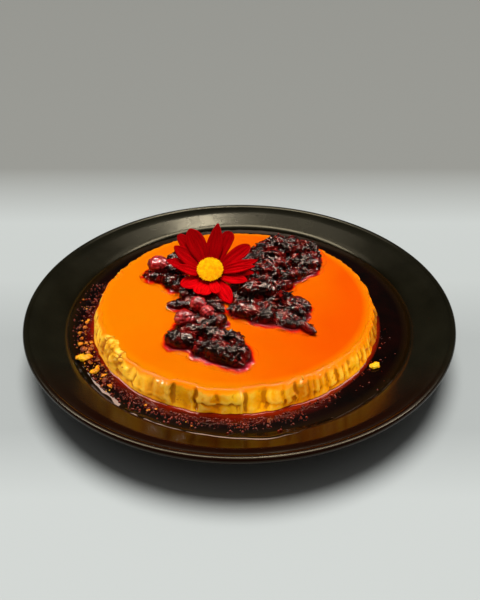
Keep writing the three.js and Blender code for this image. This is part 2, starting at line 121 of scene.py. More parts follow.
# Gives a finished piece its name and finish, hangs it from the root body, and hides the nodes that it
# stands for.
def serve(piece, name, slotName, finish, *nodeNames):
    settle(piece)
    bpy.ops.object.shade_smooth()
    piece.name = name
    piece.data.name = name
    piece.data.materials.clear()
    piece.data.materials.append(finish)
    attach(piece, "root")
    if nodeNames:
        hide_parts(*nodeNames)


# A solid turned up from a round bottom face: each step of the outline carries the top face on. With
# hollow the outline is a loop, and a tube round the middle is left.
def turnUp(name, outline, around, centre=(0, 0), hollow=False):
    take()
    radius, height = outline[0]
    bpy.ops.mesh.primitive_circle_add(
        vertices=around,
        radius=radius * mm,
        fill_type="NOTHING" if hollow else "NGON",
        location=metres(*centre, height),
    )
    piece = bpy.context.object
    piece.name = name
    bpy.ops.object.mode_set(mode="EDIT")
    bpy.ops.mesh.select_all(action="SELECT")
    for nextRadius, nextHeight in outline[1:]:
        climb = (nextHeight - height) * mm
        bpy.ops.mesh.extrude_region_move(TRANSFORM_OT_translate={"value": (0, 0, climb)})
        grow = nextRadius / radius
        bpy.ops.transform.resize(value=(grow, grow, 1), center_override=metres(*centre, 0))
        radius, height = nextRadius, nextHeight
    bpy.ops.mesh.select_all(action="SELECT")
    if hollow:
        bpy.ops.mesh.remove_doubles(threshold=0.02 * mm)
    bpy.ops.mesh.normals_make_consistent(inside=False)
    settle(piece)
    return piece


def ballOf(subdivisions, radius=0.5):
    take()
    bpy.ops.mesh.primitive_ico_sphere_add(subdivisions=subdivisions, radius=radius)
    return bpy.context.object


# Writes a number on each vertex, which a finish reads by its name.
def mark(piece, name, values):
    marks = piece.data.attributes.new(name, "FLOAT", "POINT")
    for spot, value in zip(marks.data, values):
        spot.value = value


# A separate copy of the template's mesh at each place.
def copyOut(template, places):
    twins = []
    for place in places:
        twin = template.copy()
        twin.data = template.data.copy()
        twin.matrix_world = place
        bpy.context.scene.collection.objects.link(twin)
        twins.append(twin)
    bpy.data.objects.remove(template)
    return twins


def joinUp(pieces):
    take(*pieces)
    bpy.ops.object.transform_apply(location=True, rotation=True, scale=True)
    bpy.ops.object.join()
    return bpy.context.object


# The place of a thing dropped at a spot, turned and drawn out by chance.
def dropAt(spot, size, longest, tall, draw):
    turn = Matrix.Rotation(draw.uniform(0, fullTurn), 4, "Z")
    stretch = Matrix.Diagonal((size * draw.uniform(1, longest), size, tall * size, 1))
    return Matrix.Translation(spot) @ turn @ stretch


def standAlong(direction):
    return direction.to_track_quat("Z", "X").to_matrix().to_4x4()


def lerp(start, end, share):
    return start + (end - start) * share


def ease(share):
    share = max(0.0, min(1.0, share))
    return share * share * (3 - 2 * share)


# Finishes: most of these helpers add a node to the tree of the socket they are given, link or set its
# inputs, and give its output back.
def newFinish(name, sockets):
    finish = bpy.data.materials.new(name)
    finish.use_nodes = True
    shader = finish.node_tree.nodes["Principled BSDF"]
    for socket, value in sockets.items():
        shader.inputs[socket].default_value = value
    return finish, shader


def setInput(tree, node, key, value):
    if isinstance(value, bpy.types.NodeSocket):
        tree.links.new(value, node.inputs[key])
    else:
        node.inputs[key].default_value = value


def addNode(tree, kind, inputs=None, **settings):
    node = tree.nodes.new(kind)
    for name, value in settings.items():
        setattr(node, name, value)
    for key, value in (inputs or {}).items():
        setInput(tree, node, key, value)
    return node


def soft(weight, radius, scale):
    return {"Subsurface Weight": weight, "Subsurface Radius": radius, "Subsurface Scale": scale}


def coat(weight, roughness):
    return {"Coat Weight": weight, "Coat Roughness": roughness}


def mapped(tree, place, scale, location=(0, 0, 0)):
    inputs = {"Vector": place, "Scale": scale, "Location": location}
    return addNode(tree, "ShaderNodeMapping", inputs).outputs["Vector"]


def objectPlace(finish, scale=(1, 1, 1), location=(0, 0, 0)):
    tree = finish.node_tree
    place = addNode(tree, "ShaderNodeTexCoord").outputs["Object"]
    return mapped(tree, place, scale, location)


def axisOf(place, axis):
    return addNode(place.id_data, "ShaderNodeSeparateXYZ", {"Vector": place}).outputs[axis]


def marked(finish, name):
    return addNode(finish.node_tree, "ShaderNodeAttribute", attribute_name=name).outputs["Fac"]


def cloud(place, scale, detail=3, roughness=0.5):
    inputs = {"Vector": place, "Scale": scale, "Detail": detail, "Roughness": roughness}
    return addNode(place.id_data, "ShaderNodeTexNoise", inputs).outputs["Fac"]


def setStops(node, stops):
    elements = node.color_ramp.elements
    while len(elements) < len(stops):
        elements.new(0.5)
    for element, (position, color) in zip(elements, stops):
        element.position = position
        element.color = (*color, 1)


def ramp(value, stops):
    node = addNode(value.id_data, "ShaderNodeValToRGB", {"Fac": value})
    setStops(node, stops)
    return node.outputs["Color"]


def spread(value, low, high, newLow=0.0, newHigh=1.0):
    inputs = {"Value": value, "From Min": low, "From Max": high, "To Min": newLow, "To Max": newHigh}
    return addNode(value.id_data, "ShaderNodeMapRange", inputs).outputs["Result"]


mixSockets = (0, 6, 7)  # the mix node's share and two colours, whose names it uses more than once


def mixColors(share, tone, color, blend="MIX"):
    node = addNode(tone.id_data, "ShaderNodeMix", data_type="RGBA", blend_type=blend)
    if isinstance(color, tuple):
        color = (*color, 1)
    for key, value in zip(mixSockets, (share, tone, color)):
        setInput(tone.id_data, node, key, value)
    return node.outputs[2]


# Lays a second colour over the tone as the value goes from low to high.
def wash(tone, color, value, low, high, newLow=0.0, newHigh=1.0):
    return mixColors(spread(value, low, high, newLow, newHigh), tone, color)


# Either number may be a socket instead.
def mathOf(operation, first, second):
    socket = first if isinstance(first, bpy.types.NodeSocket) else second
    inputs = {0: first, 1: second}
    return addNode(socket.id_data, "ShaderNodeMath", inputs, operation=operation).outputs["Value"]


def connect(output, shader, socket):
    output.id_data.links.new(output, shader.inputs[socket])


def bump(shader, height, distance, strength):
    inputs = {"Height": height, "Distance": distance, "Strength": strength}
    connect(addNode(height.id_data, "ShaderNodeBump", inputs).outputs["Normal"], shader, "Normal")


# A finish that is no more than a mottled colour and, with grain, a fine bump: its scale, depth and
# strength.
def mottledFinish(name, sockets, scale, stops, grain=None):
    finish, shader = newFinish(name, sockets)
    place = objectPlace(finish)
    connect(ramp(cloud(place, scale), stops), shader, "Base Color")
    if grain:
        grainScale, depth, strength = grain
        bump(shader, cloud(place, grainScale), depth, strength)
    return finish


# How far a point lies from an upright axis, in metres.
def fromAxis(finish, centre):
    place = objectPlace(finish, location=metres(-centre[0], -centre[1], 0), scale=(1, 1, 0))
    length = addNode(place.id_data, "ShaderNodeVectorMath", {0: place}, operation="LENGTH")
    return length.outputs["Value"]


# The camera, the light and the table.
stageSettings = {
    "cameraPlace": (0.0004, -0.3046, 0.2333),
    "cameraTarget": (0.0004, -0.0137, 0.0300),
    "lens": 30,
    "keyHeight": 74,  # degrees above the table, from behind
    "keySpread": 32,
    "keyStrength": 3.45,
    "fills": [(-0.76, -0.48, 0.40), (0.68, -0.52, 0.38)],
    "fillSize": 0.22,
    "fillWatts": 5.6,
    "pale": ["custardBody", "custardBits", "crumbRight", "crumbLeft", "crumbLowLeft", "flowerDisc"],
    # soft boxes that show only as reflections: what they light, their place over the table, their two
    # sizes and their power
    "boxes": [
        (["caramelPool", "caramelBubbles"], (0, 0.36), (3.0, 0.32), 40),
        (["compoteLeft", "compoteFront", "compoteRight", "compoteLeftSyrup", "compoteFrontSyrup",
          "compoteRightSyrup", "berryLeft", "berryFrontLeft", "berryFrontUpper", "berryFrontRight"],
         (0, 0.36), (3.0, 0.05), 62),
        (["custardBody", "custardBits", "crumbRight", "crumbLeft", "crumbLowLeft"],
         (0, 0.36), (3.0, 0.1), 14),
        (["plateBody"], (0, 0.36), (3.0, 0.32), 5),
        (["plateBody"], (0, -0.03), (3.0, 0.24), 44),
        (["plateBody"], (0.11, 0.29), (0.12, 0.07), 2.2),
    ],
    "boxHeight": 1.0,
    "ceiling": [(0.0, 0.03), (0.66, 0.04), (0.82, 0.22), (1.0, 0.26)],  # glow against height
    "floorSize": 9.0,
    # the table's colour along Y, from the front past the plate to the back, with painted shade: a darker
    # band beside the plate for its soft shadow and a dim back
    "floorStart": -0.17,
    "floorEnd": 0.33,
    "floorPaintedShade": [
        (0.04, (0.56, 0.585, 0.565)), (0.13, (0.43, 0.45, 0.435)), (0.3, (0.43, 0.45, 0.435)),
        (0.46, (0.53, 0.555, 0.535)), (0.68, (0.54, 0.565, 0.545)), (1.0, (0.285, 0.285, 0.262)),
    ],
}


def addFloor(settings):
    bpy.ops.mesh.primitive_plane_add(size=settings["floorSize"])
    floor = bpy.context.object
    floor.name = "floor"
    finish, shader = newFinish("tableTop", {"Roughness": 0.6, "Specular IOR Level": 0.1})
    place = objectPlace(finish)
    share = spread(axisOf(place, "Y"), settings["floorStart"], settings["floorEnd"])
    # painted shade: the plate's soft shadow beside it and the dim back, as a ramp along Y
    connect(ramp(share, settings["floorPaintedShade"]), shader, "Base Color")
    bump(shader, cloud(place, 60), 0.0002, 0.1)
    floor.data.materials.append(finish)


def addLight(kind, name, place, watts, **settings):
    turn = (-Vector(place)).to_track_quat("-Z", "Y").to_euler()
    bpy.ops.object.light_add(type=kind, location=place, rotation=turn)
    light = bpy.context.object
    light.name = name
    light.data.energy = watts
    for key, value in settings.items():
        setattr(light.data, key, value)
    return light


# A sun behind the plate, which lights but isn't mirrored.
def addKey(settings):
    height = math.radians(settings["keyHeight"])
    place = (0, 2 * math.cos(height), 2 * math.sin(height))
    spreadAngle = math.radians(settings["keySpread"])
    key = addLight("SUN", "keyLight", place, settings["keyStrength"], angle=spreadAngle)
    key.visible_glossy = False


# A dim room under a soft bright ceiling.
def addRoom(settings):
    world = bpy.data.worlds.new("room")
    world.use_nodes = True
    nodes, links = world.node_tree.nodes, world.node_tree.links
    direction = nodes.new("ShaderNodeTexCoord")
    parts = nodes.new("ShaderNodeSeparateXYZ")
    glow = nodes.new("ShaderNodeValToRGB")
    links.new(direction.outputs["Generated"], parts.inputs["Vector"])
    links.new(parts.outputs["Z"], glow.inputs["Fac"])
    links.new(glow.outputs["Color"], nodes["Background"].inputs["Color"])
    setStops(glow, [(height, (level, level, level)) for height, level in settings["ceiling"]])
    bpy.context.scene.world = world


def setStage(settings):
    place = Vector(settings["cameraPlace"])
    turn = (Vector(settings["cameraTarget"]) - place).to_track_quat("-Z", "Y").to_euler()
    bpy.ops.object.camera_add(location=place, rotation=turn)
    camera = bpy.context.object
    camera.data.lens = settings["lens"]
    bpy.context.scene.camera = camera
    addKey(settings)
    addRoom(settings)
    addFloor(settings)
    bpy.context.scene.view_settings.view_transform = "Standard"


def lightOnly(light, names):
    lit = bpy.data.collections.new(light.name + "Pieces")
    for name in names:
        lit.objects.link(bpy.data.objects[name])
    light.light_linking.receiver_collection = lit


# The fills light only the custard and the daisy's middle. Each soft box glints on its own pieces.
def setFills(settings):
    for place in settings["fills"]:
        fill = addLight("AREA", "fillLight", place, settings["fillWatts"], size=settings["fillSize"])
        lightOnly(fill, settings["pale"])
    for names, place, (long, wide), watts in settings["boxes"]:
        place = (*place, settings["boxHeight"])
        box = addLight("AREA", "softBox", place, watts, shape="RECTANGLE", size=long, size_y=wide)
        box.visible_diffuse = False
        lightOnly(box, names)


take()
setStage(stageSettings)
print("stage set")


# The plate: its outline in mm, from the middle of the underside round the lip and down into the well.
plateShape = {
    "around": 288,
    "underside": [(75, 5.4), (76.6, 0.3), (77.4, 0), (82.6, 0), (83.4, 0.3), (85, 5.9), (113, 5.9)],
    "shoulder": [(118.5, 7.2), (124, 11.6), (128.6, 15.6)],
    "lipFoot": [(138.5, 20.6), (147.4, 24.9), (148.8, 25.5)],
    # arcs: their middle's radius and height, their own radius, from and to in degrees, and steps
    "bead": (147.9, 27.9, 2.1, -50, 150, 14),
    "rimTop": (145.0, 28.8),
    "rimFoot": (127.0, 19.3),
    "rimShares": (0.33, 0.66, 0.9, 0.98),
    "fillet": (116, 18.5, 8, -16, -90, 9),
    "floorRadius": 100,
}


def arcPoints(middle, height, radius, start, end, steps):
    points = []
    for step in range(steps + 1):
        angle = math.radians(lerp(start, end, step / steps))
        points.append((middle + radius * math.cos(angle), height + radius * math.sin(angle)))
    return points


def plateOutline(shape):
    beadRadius, beadHeight, beadReach = shape["bead"][:3]
    filletHeight, filletRadius = shape["fillet"][1:3]
    topRadius, topHeight = shape["rimTop"]
    footRadius, footHeight = shape["rimFoot"]
    points = shape["underside"] + shape["shoulder"] + shape["lipFoot"] + arcPoints(*shape["bead"])
    points.append((beadRadius - beadReach - 0.5, beadHeight + 0.75))
    points.append((topRadius, topHeight))
    for share in shape["rimShares"]:
        points.append((lerp(topRadius - 1, footRadius, share), lerp(topHeight - 0.52, footHeight, share)))
    points.append((footRadius - 1.5, footHeight - 1.0))
    points += arcPoints(*shape["fillet"])
    points.append((shape["floorRadius"], filletHeight - filletRadius))
    return points


def stonewareFinish():
    finish, shader = newFinish("stoneware", {
        "Specular IOR Level": 0.22,
        "Specular Tint": (1.0, 0.86, 0.56, 1),
    })
    place = objectPlace(finish)
    cloudy = cloud(place, 38, 4, 0.6)
    tone = ramp(cloudy, [(0.3, (0.006, 0.0052, 0.0024)), (0.7, (0.009, 0.008, 0.0038))])
    # painted reflection: the front of the rim is redder brown, standing in for the flan's side mirrored in
    # it
    tone = wash(tone, (0.009, 0.0014, 0.0002), axisOf(place, "Y"), -0.07, -0.12)
    connect(tone, shader, "Base Color")
    connect(spread(cloudy, 0.3, 0.7, 0.17, 0.24), shader, "Roughness")
    bump(shader, cloud(place, 520, 2), 0.00012, 0.25)
    return finish


def makePlate(shape):
    plate = turnUp("plateBody", plateOutline(shape), shape["around"])
    serve(plate, "plateBody", "stoneware", stonewareFinish(), "plate")


makePlate(plateShape)
print("plate made")


# The flan's own sizes in mm, as its tin gave them.
flan = {
    "centre": (-2.7, -4.6),
    "baseRadius": 103.0,
    "topRadius": 96.2,
    "wellFloor": 10.5,
    "foot": 10.8,
    "shoulder": 27.85,
    "brim": [(0.12, 28.15), (0.4, 28.45), (0.85, 28.68), (1.5, 28.82), (2.4, 28.9), (4.0, 28.9)],
    "top": 29.1,
    "bulge": 0.8,
    # how it is out of round: waves round it, their height in mm and their start
    "waves": [(2, 0.45, 0.6), (3, 0.3, 2.1), (5, 0.25, 4)],
    "pleats": 52,
    "pleatDepth": 0.45,
    # a panel's step of 1 and the width of its corner, in mm, and the crease there: how deep, how far
    # from the corner and how wide
    "panelStep": 1.25,
    "panelCorner": 2.1,
    "panelCrease": (0.32, 1.0, 1.1),
    "shelfCorner": 2.2,
    # what the panels that aren't listed are drawn from: their widths, and their shelves' heights
    # and depths
    "panelWidths": (5, 12),
    "narrowWidths": (3, 8),
    "shelfHeights": (17, 20.5),
    "shelfDepths": (0, 1.2),
    # strips, lumps and pits in the side: how wide, how high and how deep
    "strip": (4.2, 15, 0.55),
    "lump": (9, 7, 1.0),
    "pit": (1.7, 1.9, 1.2),
    "around": 960,
    "rings": 30,
    "seed": 4,
}
pool = {
    "level": 14.4,
    # where the caramel ends: angle about the flan in degrees, and radius about the plate's middle
    "shore": [
        (0, 123.4), (160, 123.4), (200, 122.6), (214, 121.4), (230, 122.0), (241, 123.4), (252, 125.0),
        (262, 126.8), (271, 129.0), (278, 131.2), (284, 129.0), (292, 125.0), (302, 123.4), (360, 123.4),
    ],
    "floorEdge": 115.0,
    "around": 480,
    "film": 0.25,
    # the stretch where its edge is a bright bead: from and to in degrees, and width in mm. At the left
    # it is narrower and steeper.
    "bead": (215, 286, 1.1),
    "beadLeftShare": 0.55,
    "beadSlope": 0.108,
    "beadLeftSlope": 0.25,
    # a shore nearer than this lies below the level, and the caramel sinks to it over a beach
    "lowShore": 122.8,
    "beach": 3.4,
    "innerCreep": 0.42,
    "innerWidth": 0.6,
    # the plain ring before it is flooded, and its loops, closer together at both edges
    "ring": (104.0, 124.0),
    "shares": (0, 0.01, 0.02, 0.03, 0.042, 0.056, 0.075, 0.1, 0.15, 0.24, 0.36, 0.48, 0.58, 0.66, 0.73,
               0.79, 0.84, 0.88, 0.91, 0.932, 0.95, 0.964, 0.976, 0.985, 0.993, 1.0),
}


# The plate's surface under the caramel's edge.
def wellHeight(radius):
    middle, height, fillet, start = plateShape["fillet"][:4]
    footRadius, footHeight = plateShape["rimFoot"]
    filletEnd = middle + fillet * math.cos(math.radians(start))
    filletTop = height + fillet * math.sin(math.radians(start))
    if radius < filletEnd:
        return height - math.sqrt(fillet**2 - max(0.0, radius - middle) ** 2)
    if radius < footRadius:
        return lerp(filletTop, footHeight, (radius - filletEnd) / (footRadius - filletEnd))
    topRadius, topHeight = plateShape["rimTop"]
    return lerp(footHeight, topHeight, (radius - footRadius) / (topRadius - footRadius))


def shoreAt(angle):
    degrees = math.degrees(angle) % 360
    for (start, near), (end, far) in zip(pool["shore"], pool["shore"][1:]):
        if degrees <= end:
            share = (degrees - start) / (end - start)
            return lerp(near, far, ease(share)) + 0.25 * noise.noise(Vector((degrees / 3, 0, 0)))
    return pool["shore"][-1][1]


def outOfRound(angle):
    return sum(height * math.sin(count * angle + start) for count, height, start in flan["waves"])


# The tin's narrow pleats, unevenly spread and deep.
def pleat(angle):
    spreadOut = 2.2 * math.sin(3 * angle + 1) + 1.4 * math.sin(7 * angle)
    depth = 0.65 + 0.35 * math.sin(5 * angle + 2)
    return depth * math.cos(flan["pleats"] * angle + spreadOut)


def straightSide(z):
    share = (z - flan["wellFloor"]) / (flan["top"] - flan["wellFloor"])
    return lerp(flan["baseRadius"], flan["topRadius"], share) + flan["bulge"] * math.sin(math.pi * share)


# Panels of the tin's side, each set in or out of its neighbours: from which angle in degrees, by how
# many steps, its tilt, its puff, and the height and depth of the shelf it breaks off at.
frontPanels = [
    (204, 0.3, 0.4, 0.4, 19.0, 0.8), (214, 0.6, -0.6, 0.8, 18.5, 0.6), (223, 0.1, 0.6, 0.6, 19.0, 0.8),
    (232.5, 0.8, -0.3, 0.5, 17.5, 0.6), (240, 0.5, 0.7, 0.3, 17.5, 0.5),
    (247.6, -0.9, 0.8, 0.1, 17.0, 0.2), (256.8, 1.5, -0.5, 0.6, 20.6, 1.6),
    (263.8, 1.0, 0.3, 0.6, 20.9, 1.5), (272.3, -0.6, 0.4, 0.2, 17.0, 0.2),
    (280.2, 0.3, 0.4, 0.5, 19.0, 0.7), (286.5, 0.8, -0.6, 0.6, 20.0, 0.9), (291, -0.1, 0.4, 0.4, 18.0, 0.4),
]
frontStart, frontEnd = 204, 296
# Lumps that stand out of the side: angle in degrees, height, radius and how far out, in mm.
sideLumps = [
    (206.5, 25.0, 1.7, 0.9), (210, 22.5, 2.2, 1.0), (214.5, 25.5, 1.8, 0.9), (219, 22.6, 2.4, 1.2),
    (224.5, 21.2, 2.2, 1.1), (228, 24.4, 1.6, 0.8), (247.4, 22.5, 1.2, 0.8), (261, 23.4, 1.6, 0.7),
    (275.5, 17.0, 2.6, 1.0), (288.5, 18.6, 1.9, 1.2), (293, 26.0, 1.7, 0.8), (163, 25.5, 1.8, 0.8),
]


def tinPanels(settings):
    draw = random.Random(settings["seed"])
    panels = []
    angle = 0.0
    while angle < 360:
        if frontStart <= angle < frontEnd:
            panels += frontPanels
            angle = frontEnd
        narrow = angle >= frontEnd
        amount = 0.4 if narrow else 0.7
        step, tilt = draw.uniform(-amount, amount), draw.uniform(-amount, amount)
        puff = draw.uniform(0.2, 0.2 + amount)
        shelf, depth = draw.uniform(*settings["shelfHeights"]), draw.uniform(*settings["shelfDepths"])
        panels.append((angle, step, tilt, puff, shelf, depth))
        width = draw.uniform(*settings["narrowWidths" if narrow else "panelWidths"])
        angle += math.degrees(width) / settings["baseRadius"]
        if frontStart - 8 < angle < frontStart:
            angle = frontStart
    return panels


panels = tinPanels(flan)
panelStarts = [math.radians(panel[0]) for panel in panels]


# How far the tin's panels set the side in or out, in mm.
def panelRelief(angle, z):
    sway = 0.02 if angle < math.radians(292) else 0.01
    drift = sway * noise.noise(Vector((9 * math.cos(angle), 9 * math.sin(angle), z / 6)))
    turned = (angle + drift) % fullTurn
    index = bisect.bisect_right(panelStarts, turned) - 1
    start = panelStarts[index]
    end = panelStarts[index + 1] if index + 1 < len(panels) else fullTurn
    share = (turned - start) / (end - start)
    _, step, tilt, puff, shelf, depth = panels[index]
    _, stepBefore, tiltBefore, _, _, _ = panels[index - 1]
    own = flan["panelStep"] * step + tilt * (share - 0.5) + puff * 0.6 * math.sin(math.pi * share)
    corner = flan["panelStep"] * stepBefore + 0.5 * tiltBefore
    distance = share * (end - start) * flan["baseRadius"]
    creaseDepth, creaseAt, creaseWidth = flan["panelCrease"]
    crease = creaseDepth * math.exp(-((distance - creaseAt) / creaseWidth) ** 2)
    uneven = 1.2 * noise.noise(Vector((30 * math.cos(angle), 30 * math.sin(angle), 3)))
    broken = depth * ease((shelf + uneven - z) / flan["shelfCorner"] + 0.5)
    return lerp(corner, own, ease(distance / flan["panelCorner"])) - crease - broken


def lumpRelief(angle, z):
    out = 0.0
    for middle, height, radius, rise in sideLumps:
        across = (angle - math.radians(middle)) * flan["baseRadius"]
        if abs(across) < 3 * radius:
            out += rise * math.exp(-(across**2 + (z - height) ** 2) / radius**2)
    return out


# How the custard's side departs from the smooth one, in mm, fading out where it stands in caramel.
def sideRelief(angle, z):
    dry = max(0.0, (z - pool["level"] + 1.0) / (flan["top"] - pool["level"] + 1.0))
    onRing = Vector((math.cos(angle), math.sin(angle), 0)) * 100

    def noiseOf(kind):
        width, height, depth = flan[kind]
        return noise.noise(Vector((onRing.x / width, onRing.y / width, z / height))), depth

    body = ease(0.1 + 2.6 * dry) * (1 - 0.35 * ease((dry - 0.75) / 0.25))
    relief = flan["pleatDepth"] * pleat(angle) * body
    relief += panelRelief(angle, z) * body + lumpRelief(angle, z)
    strip, stripDepth = noiseOf("strip")
    relief += stripDepth * strip * body
    lump, lumpDepth = noiseOf("lump")
    relief += lumpDepth * lump * (1 - 0.55 * dry)
    pit, pitDepth = noiseOf("pit")
    relief += 0.12 * pit - pitDepth * max(0.0, pit - 0.42)
    return relief - 0.15 * ease((z - 26.4) / 1.2)


def aroundFlan(place):
    x, y = place.x / mm - flan["centre"][0], place.y / mm - flan["centre"][1]
    return math.atan2(y, x) % fullTurn, math.hypot(x, y), place.z / mm


def fromFlan(angle, radius, z):
    x, y = flan["centre"]
    return Vector(metres(x + radius * math.cos(angle), y + radius * math.sin(angle), z))


def custardFinish():
    finish, shader = newFinish("custard", {
        "Specular IOR Level": 0.08,
        "Specular Tint": (1.0, 0.6, 0.2, 1),
        **soft(0.35, (1.0, 0.5, 0.1), 0.0015),
        **coat(0.35, 0.05),
    })
    place = objectPlace(finish)
    blotches = cloud(place, 62, 2)
    cream = ramp(blotches, [
        (0.34, (0.86, 0.28, 0.0008)),
        (0.5, (0.96, 0.40, 0.002)),
        (0.68, (1.0, 0.52, 0.010)),
    ])
    across, height = axisOf(place, "X"), axisOf(place, "Z")
    tone = wash(cream, (0.94, 0.28, 0.0005), across, 0.0, 0.09, 0.0, 0.7)
    tone = wash(tone, (1.0, 0.50, 0.04), across, -0.04, -0.075, 0.0, 0.75)
    stain = cloud(objectPlace(finish, scale=(1, 1, 0.35)), 120)
    low = spread(height, 0.0135, 0.0185, 1.0, 0.0)
    stained = mathOf("MULTIPLY", low, spread(stain, 0.4, 0.62))
    tone = mixColors(stained, tone, (0.95, 0.25, 0.0008))
    # painted shade, darker in the creases, and painted highlight, paler on the crests
    hollowShade = marked(finish, "crease")
    tone = wash(tone, (0.42, 0.10, 0.0006), hollowShade, 0.05, 0.45, 0.0, 0.8)
    tone = wash(tone, (1.0, 0.58, 0.05), hollowShade, -0.04, -0.35, 0.0, 0.6)
    # painted shade: darker left of the middle and right of it; at the far right darker and browner, partly
    # stain and partly painted shade
    paintedShadeAcross = ramp(spread(across, -0.11, 0.11), [
        (0.23, (1, 1, 1)), (0.32, (0.58, 0.57, 0.85)), (0.46, (0.66, 0.65, 0.9)), (0.58, (0.98, 0.98, 1)),
        (0.67, (0.66, 0.52, 0.4)), (0.75, (1, 1, 1)), (0.88, (1, 1, 0.8)), (0.92, (0.52, 0.38, 0.24)),
    ])
    tone = mixColors(1.0, tone, paintedShadeAcross, "MULTIPLY")
    # torn custard where the edge has crumbled
    curd = marked(finish, "curd")
    crumbled = ramp(cloud(place, 260), [
        (0.38, (0.42, 0.12, 0.0006)),
        (0.5, (0.66, 0.27, 0.004)),
        (0.66, (0.90, 0.50, 0.07)),
    ])
    # painted shade in the hollows between the curds
    crumbled = wash(crumbled, (0.34, 0.07, 0.0004), hollowShade, 0.0, 0.45, 0.0, 0.9)
    tone = mixColors(mathOf("MULTIPLY", curd, 0.85), tone, crumbled)
    # caramel that has run over the upper edge
    whole = mathOf("SUBTRACT", 1.0, curd)
    high = mathOf("ADD", height, spread(stain, 0.3, 0.7, -0.0012, 0.0012))
    high = mathOf("ADD", high, spread(across, 0.0, 0.09, 0.0, 0.0022))
    edge = mathOf("MULTIPLY", spread(high, 0.0262, 0.0284), whole)
    tone = mixColors(edge, tone, (1.0, 0.24, 0.0004))
    # painted shade: darker along the very brim, where the fills light the custard but not the caramel layer
    # beside it
    brim = mathOf("MULTIPLY", spread(height, 0.0281, 0.0288), whole)
    tone = mixColors(brim, tone, (0.74, 0.15, 0.0003))
    connect(tone, shader, "Base Color")
    connect(spread(blotches, 0.3, 0.7, 0.28, 0.45), shader, "Roughness")
    bump(shader, cloud(place, 700, 2), 0.0003, 0.3)
    return finish


# A torn lump of custard, its size in mm.
def craggy(size, seed, detail, depth):
    lump = ballOf(detail)
    shift = Vector((seed * 3.7, seed * 1.3, 0))

    def crag(place):
        coarse = noise.noise(place * 2.6 + shift)
        fine = 0.4 - abs(noise.noise(place * 6 + shift))
        return place * (1 + depth * coarse + 0.8 * depth * fine)

    reshape(lump, crag)
    lump.scale = metres(*size)
    settle(lump)
    return lump


# Lumps of broken custard where the top edge has crumbled: between which angles, how far out and how
# high, and how many.
curdPatches = [
    {"from": 210, "to": 217, "out": (93.6, 96.4), "up": (26.8, 28.0), "size": (1.4, 3.6), "count": 12},
    {"from": 217, "to": 224, "out": (94.6, 96.8), "up": (26.4, 27.6), "size": (1.2, 2.6), "count": 8},
    {"from": 208, "to": 226, "out": (97.0, 98.4), "up": (22.0, 27.0), "size": (1.4, 3.2), "count": 13},
    {"from": 161, "to": 166.5, "out": (93.0, 96.4), "up": (27.4, 28.1), "size": (1.6, 3.0), "count": 8},
    {"from": 292, "to": 296, "out": (94.8, 96.4), "up": (27.8, 28.4), "size": (1.2, 2.4), "count": 5},
]


def makeCurds():
    draw = random.Random(flan["seed"] + 7)
    shapes = [[] for _ in range(4)]
    for patch in curdPatches:
        for index in range(patch["count"]):
            angle = math.radians(draw.uniform(patch["from"], patch["to"]))
            size = draw.uniform(*patch["size"]) * mm
            out = draw.uniform(*patch["out"]) + outOfRound(angle)
            spot = fromFlan(angle, out, draw.uniform(*patch["up"]))
            shapes[index % 4].append(dropAt(spot, size, 1.6, 0.75, draw))
    curds = []
    for seed, places in enumerate(shapes):
        # a metre across, because its place shrinks it
        curd = craggy((1000, 1000, 1000), seed + 11, detail=3, depth=0.28)
        vertices = curd.data.vertices
        mark(curd, "curd", [1.0] * len(vertices))
        # painted shade under each curd: its lower half is marked as a crease, which the finish darkens
        mark(curd, "crease", [0.5 * ease(0.5 - 2 * vertex.co.z) for vertex in vertices])
        curds += copyOut(curd, places)
    return curds


# How hollow the side is at each vertex: above nothing in a crease, below nothing on a crest. The finish
# paints shade and highlight from it.
def markCreases(piece, relief):
    around, last = flan["around"], len(relief) - 1
    curdled, hollows = [], []
    for vertex in piece.data.vertices:
        angle, _, z = aroundFlan(vertex.co)
        degrees = math.degrees(angle)
        curdled.append(ease((degrees - 207) / 4) * ease((228 - degrees) / 5) * ease((z - 19) / 4))
    for index, own in enumerate(relief):
        beside = relief[max(0, index - 4)] + relief[min(last, index + 4)]
        beside += relief[max(0, index - 3 * around)] + relief[min(last, index + 3 * around)]
        hollows.append(max(-1.0, min(1.0, 1.4 * (beside / 4 - own))))
    mark(piece, "curd", curdled)
    mark(piece, "crease", hollows)


def makeCustard(settings):
    rings = settings["rings"]
    heights = [lerp(settings["foot"], settings["shoulder"], ring / rings) for ring in range(rings + 1)]
    outline = [(straightSide(z), z) for z in heights]
    brink = outline[-1][0]
    outline += [(brink - inside, z) for inside, z in settings["brim"]]
    custard = turnUp("custardBody", outline, settings["around"], settings["centre"])

    relief = []

    def shapeSide(place):
        angle, radius, z = aroundFlan(place)
        relief.append(sideRelief(angle, z))
        return fromFlan(angle, radius + outOfRound(angle) + relief[-1], z)

    reshape(custard, shapeSide)
    markCreases(custard, relief)
    custard = joinUp([custard, *makeCurds()])
    serve(custard, "custardBody", "custard", custardFinish(), "custard")


makeCustard(flan)
print("custard turned out")


# The caramel-stained top: a thin layer with a soft, wavy edge that stands a little over the side.
topLayer = {
    "edge": [(-3.6, 28.7), (-1.4, 28.72), (-1.1, 28.8), (-1.3, 28.9), (-1.8, 28.98), (-2.5, 29.05)],
    # where the edge has broken away: angle, half width in degrees and depth in mm
    "bites": [(215, 5.0, 3.4), (222, 3.0, 1.6), (163.5, 2.6, 3.2), (294, 2.0, 1.0)],
    # where it begins to follow the side's waves, and over what width
    "waveFrom": 84,
    "waveOver": 10,
    # its broad swell and the crinkle of its edge: how high in mm, and how long in m
    "swell": (0.12, 0.03),
    "crinkle": (0.22, 0.009),
    "around": 480,
    "inner": (3.4, 4.8, 6.6, 9, 12, 16, 21, 27, 34, 42, 51, 61, 71, 80, 88, 93),
}


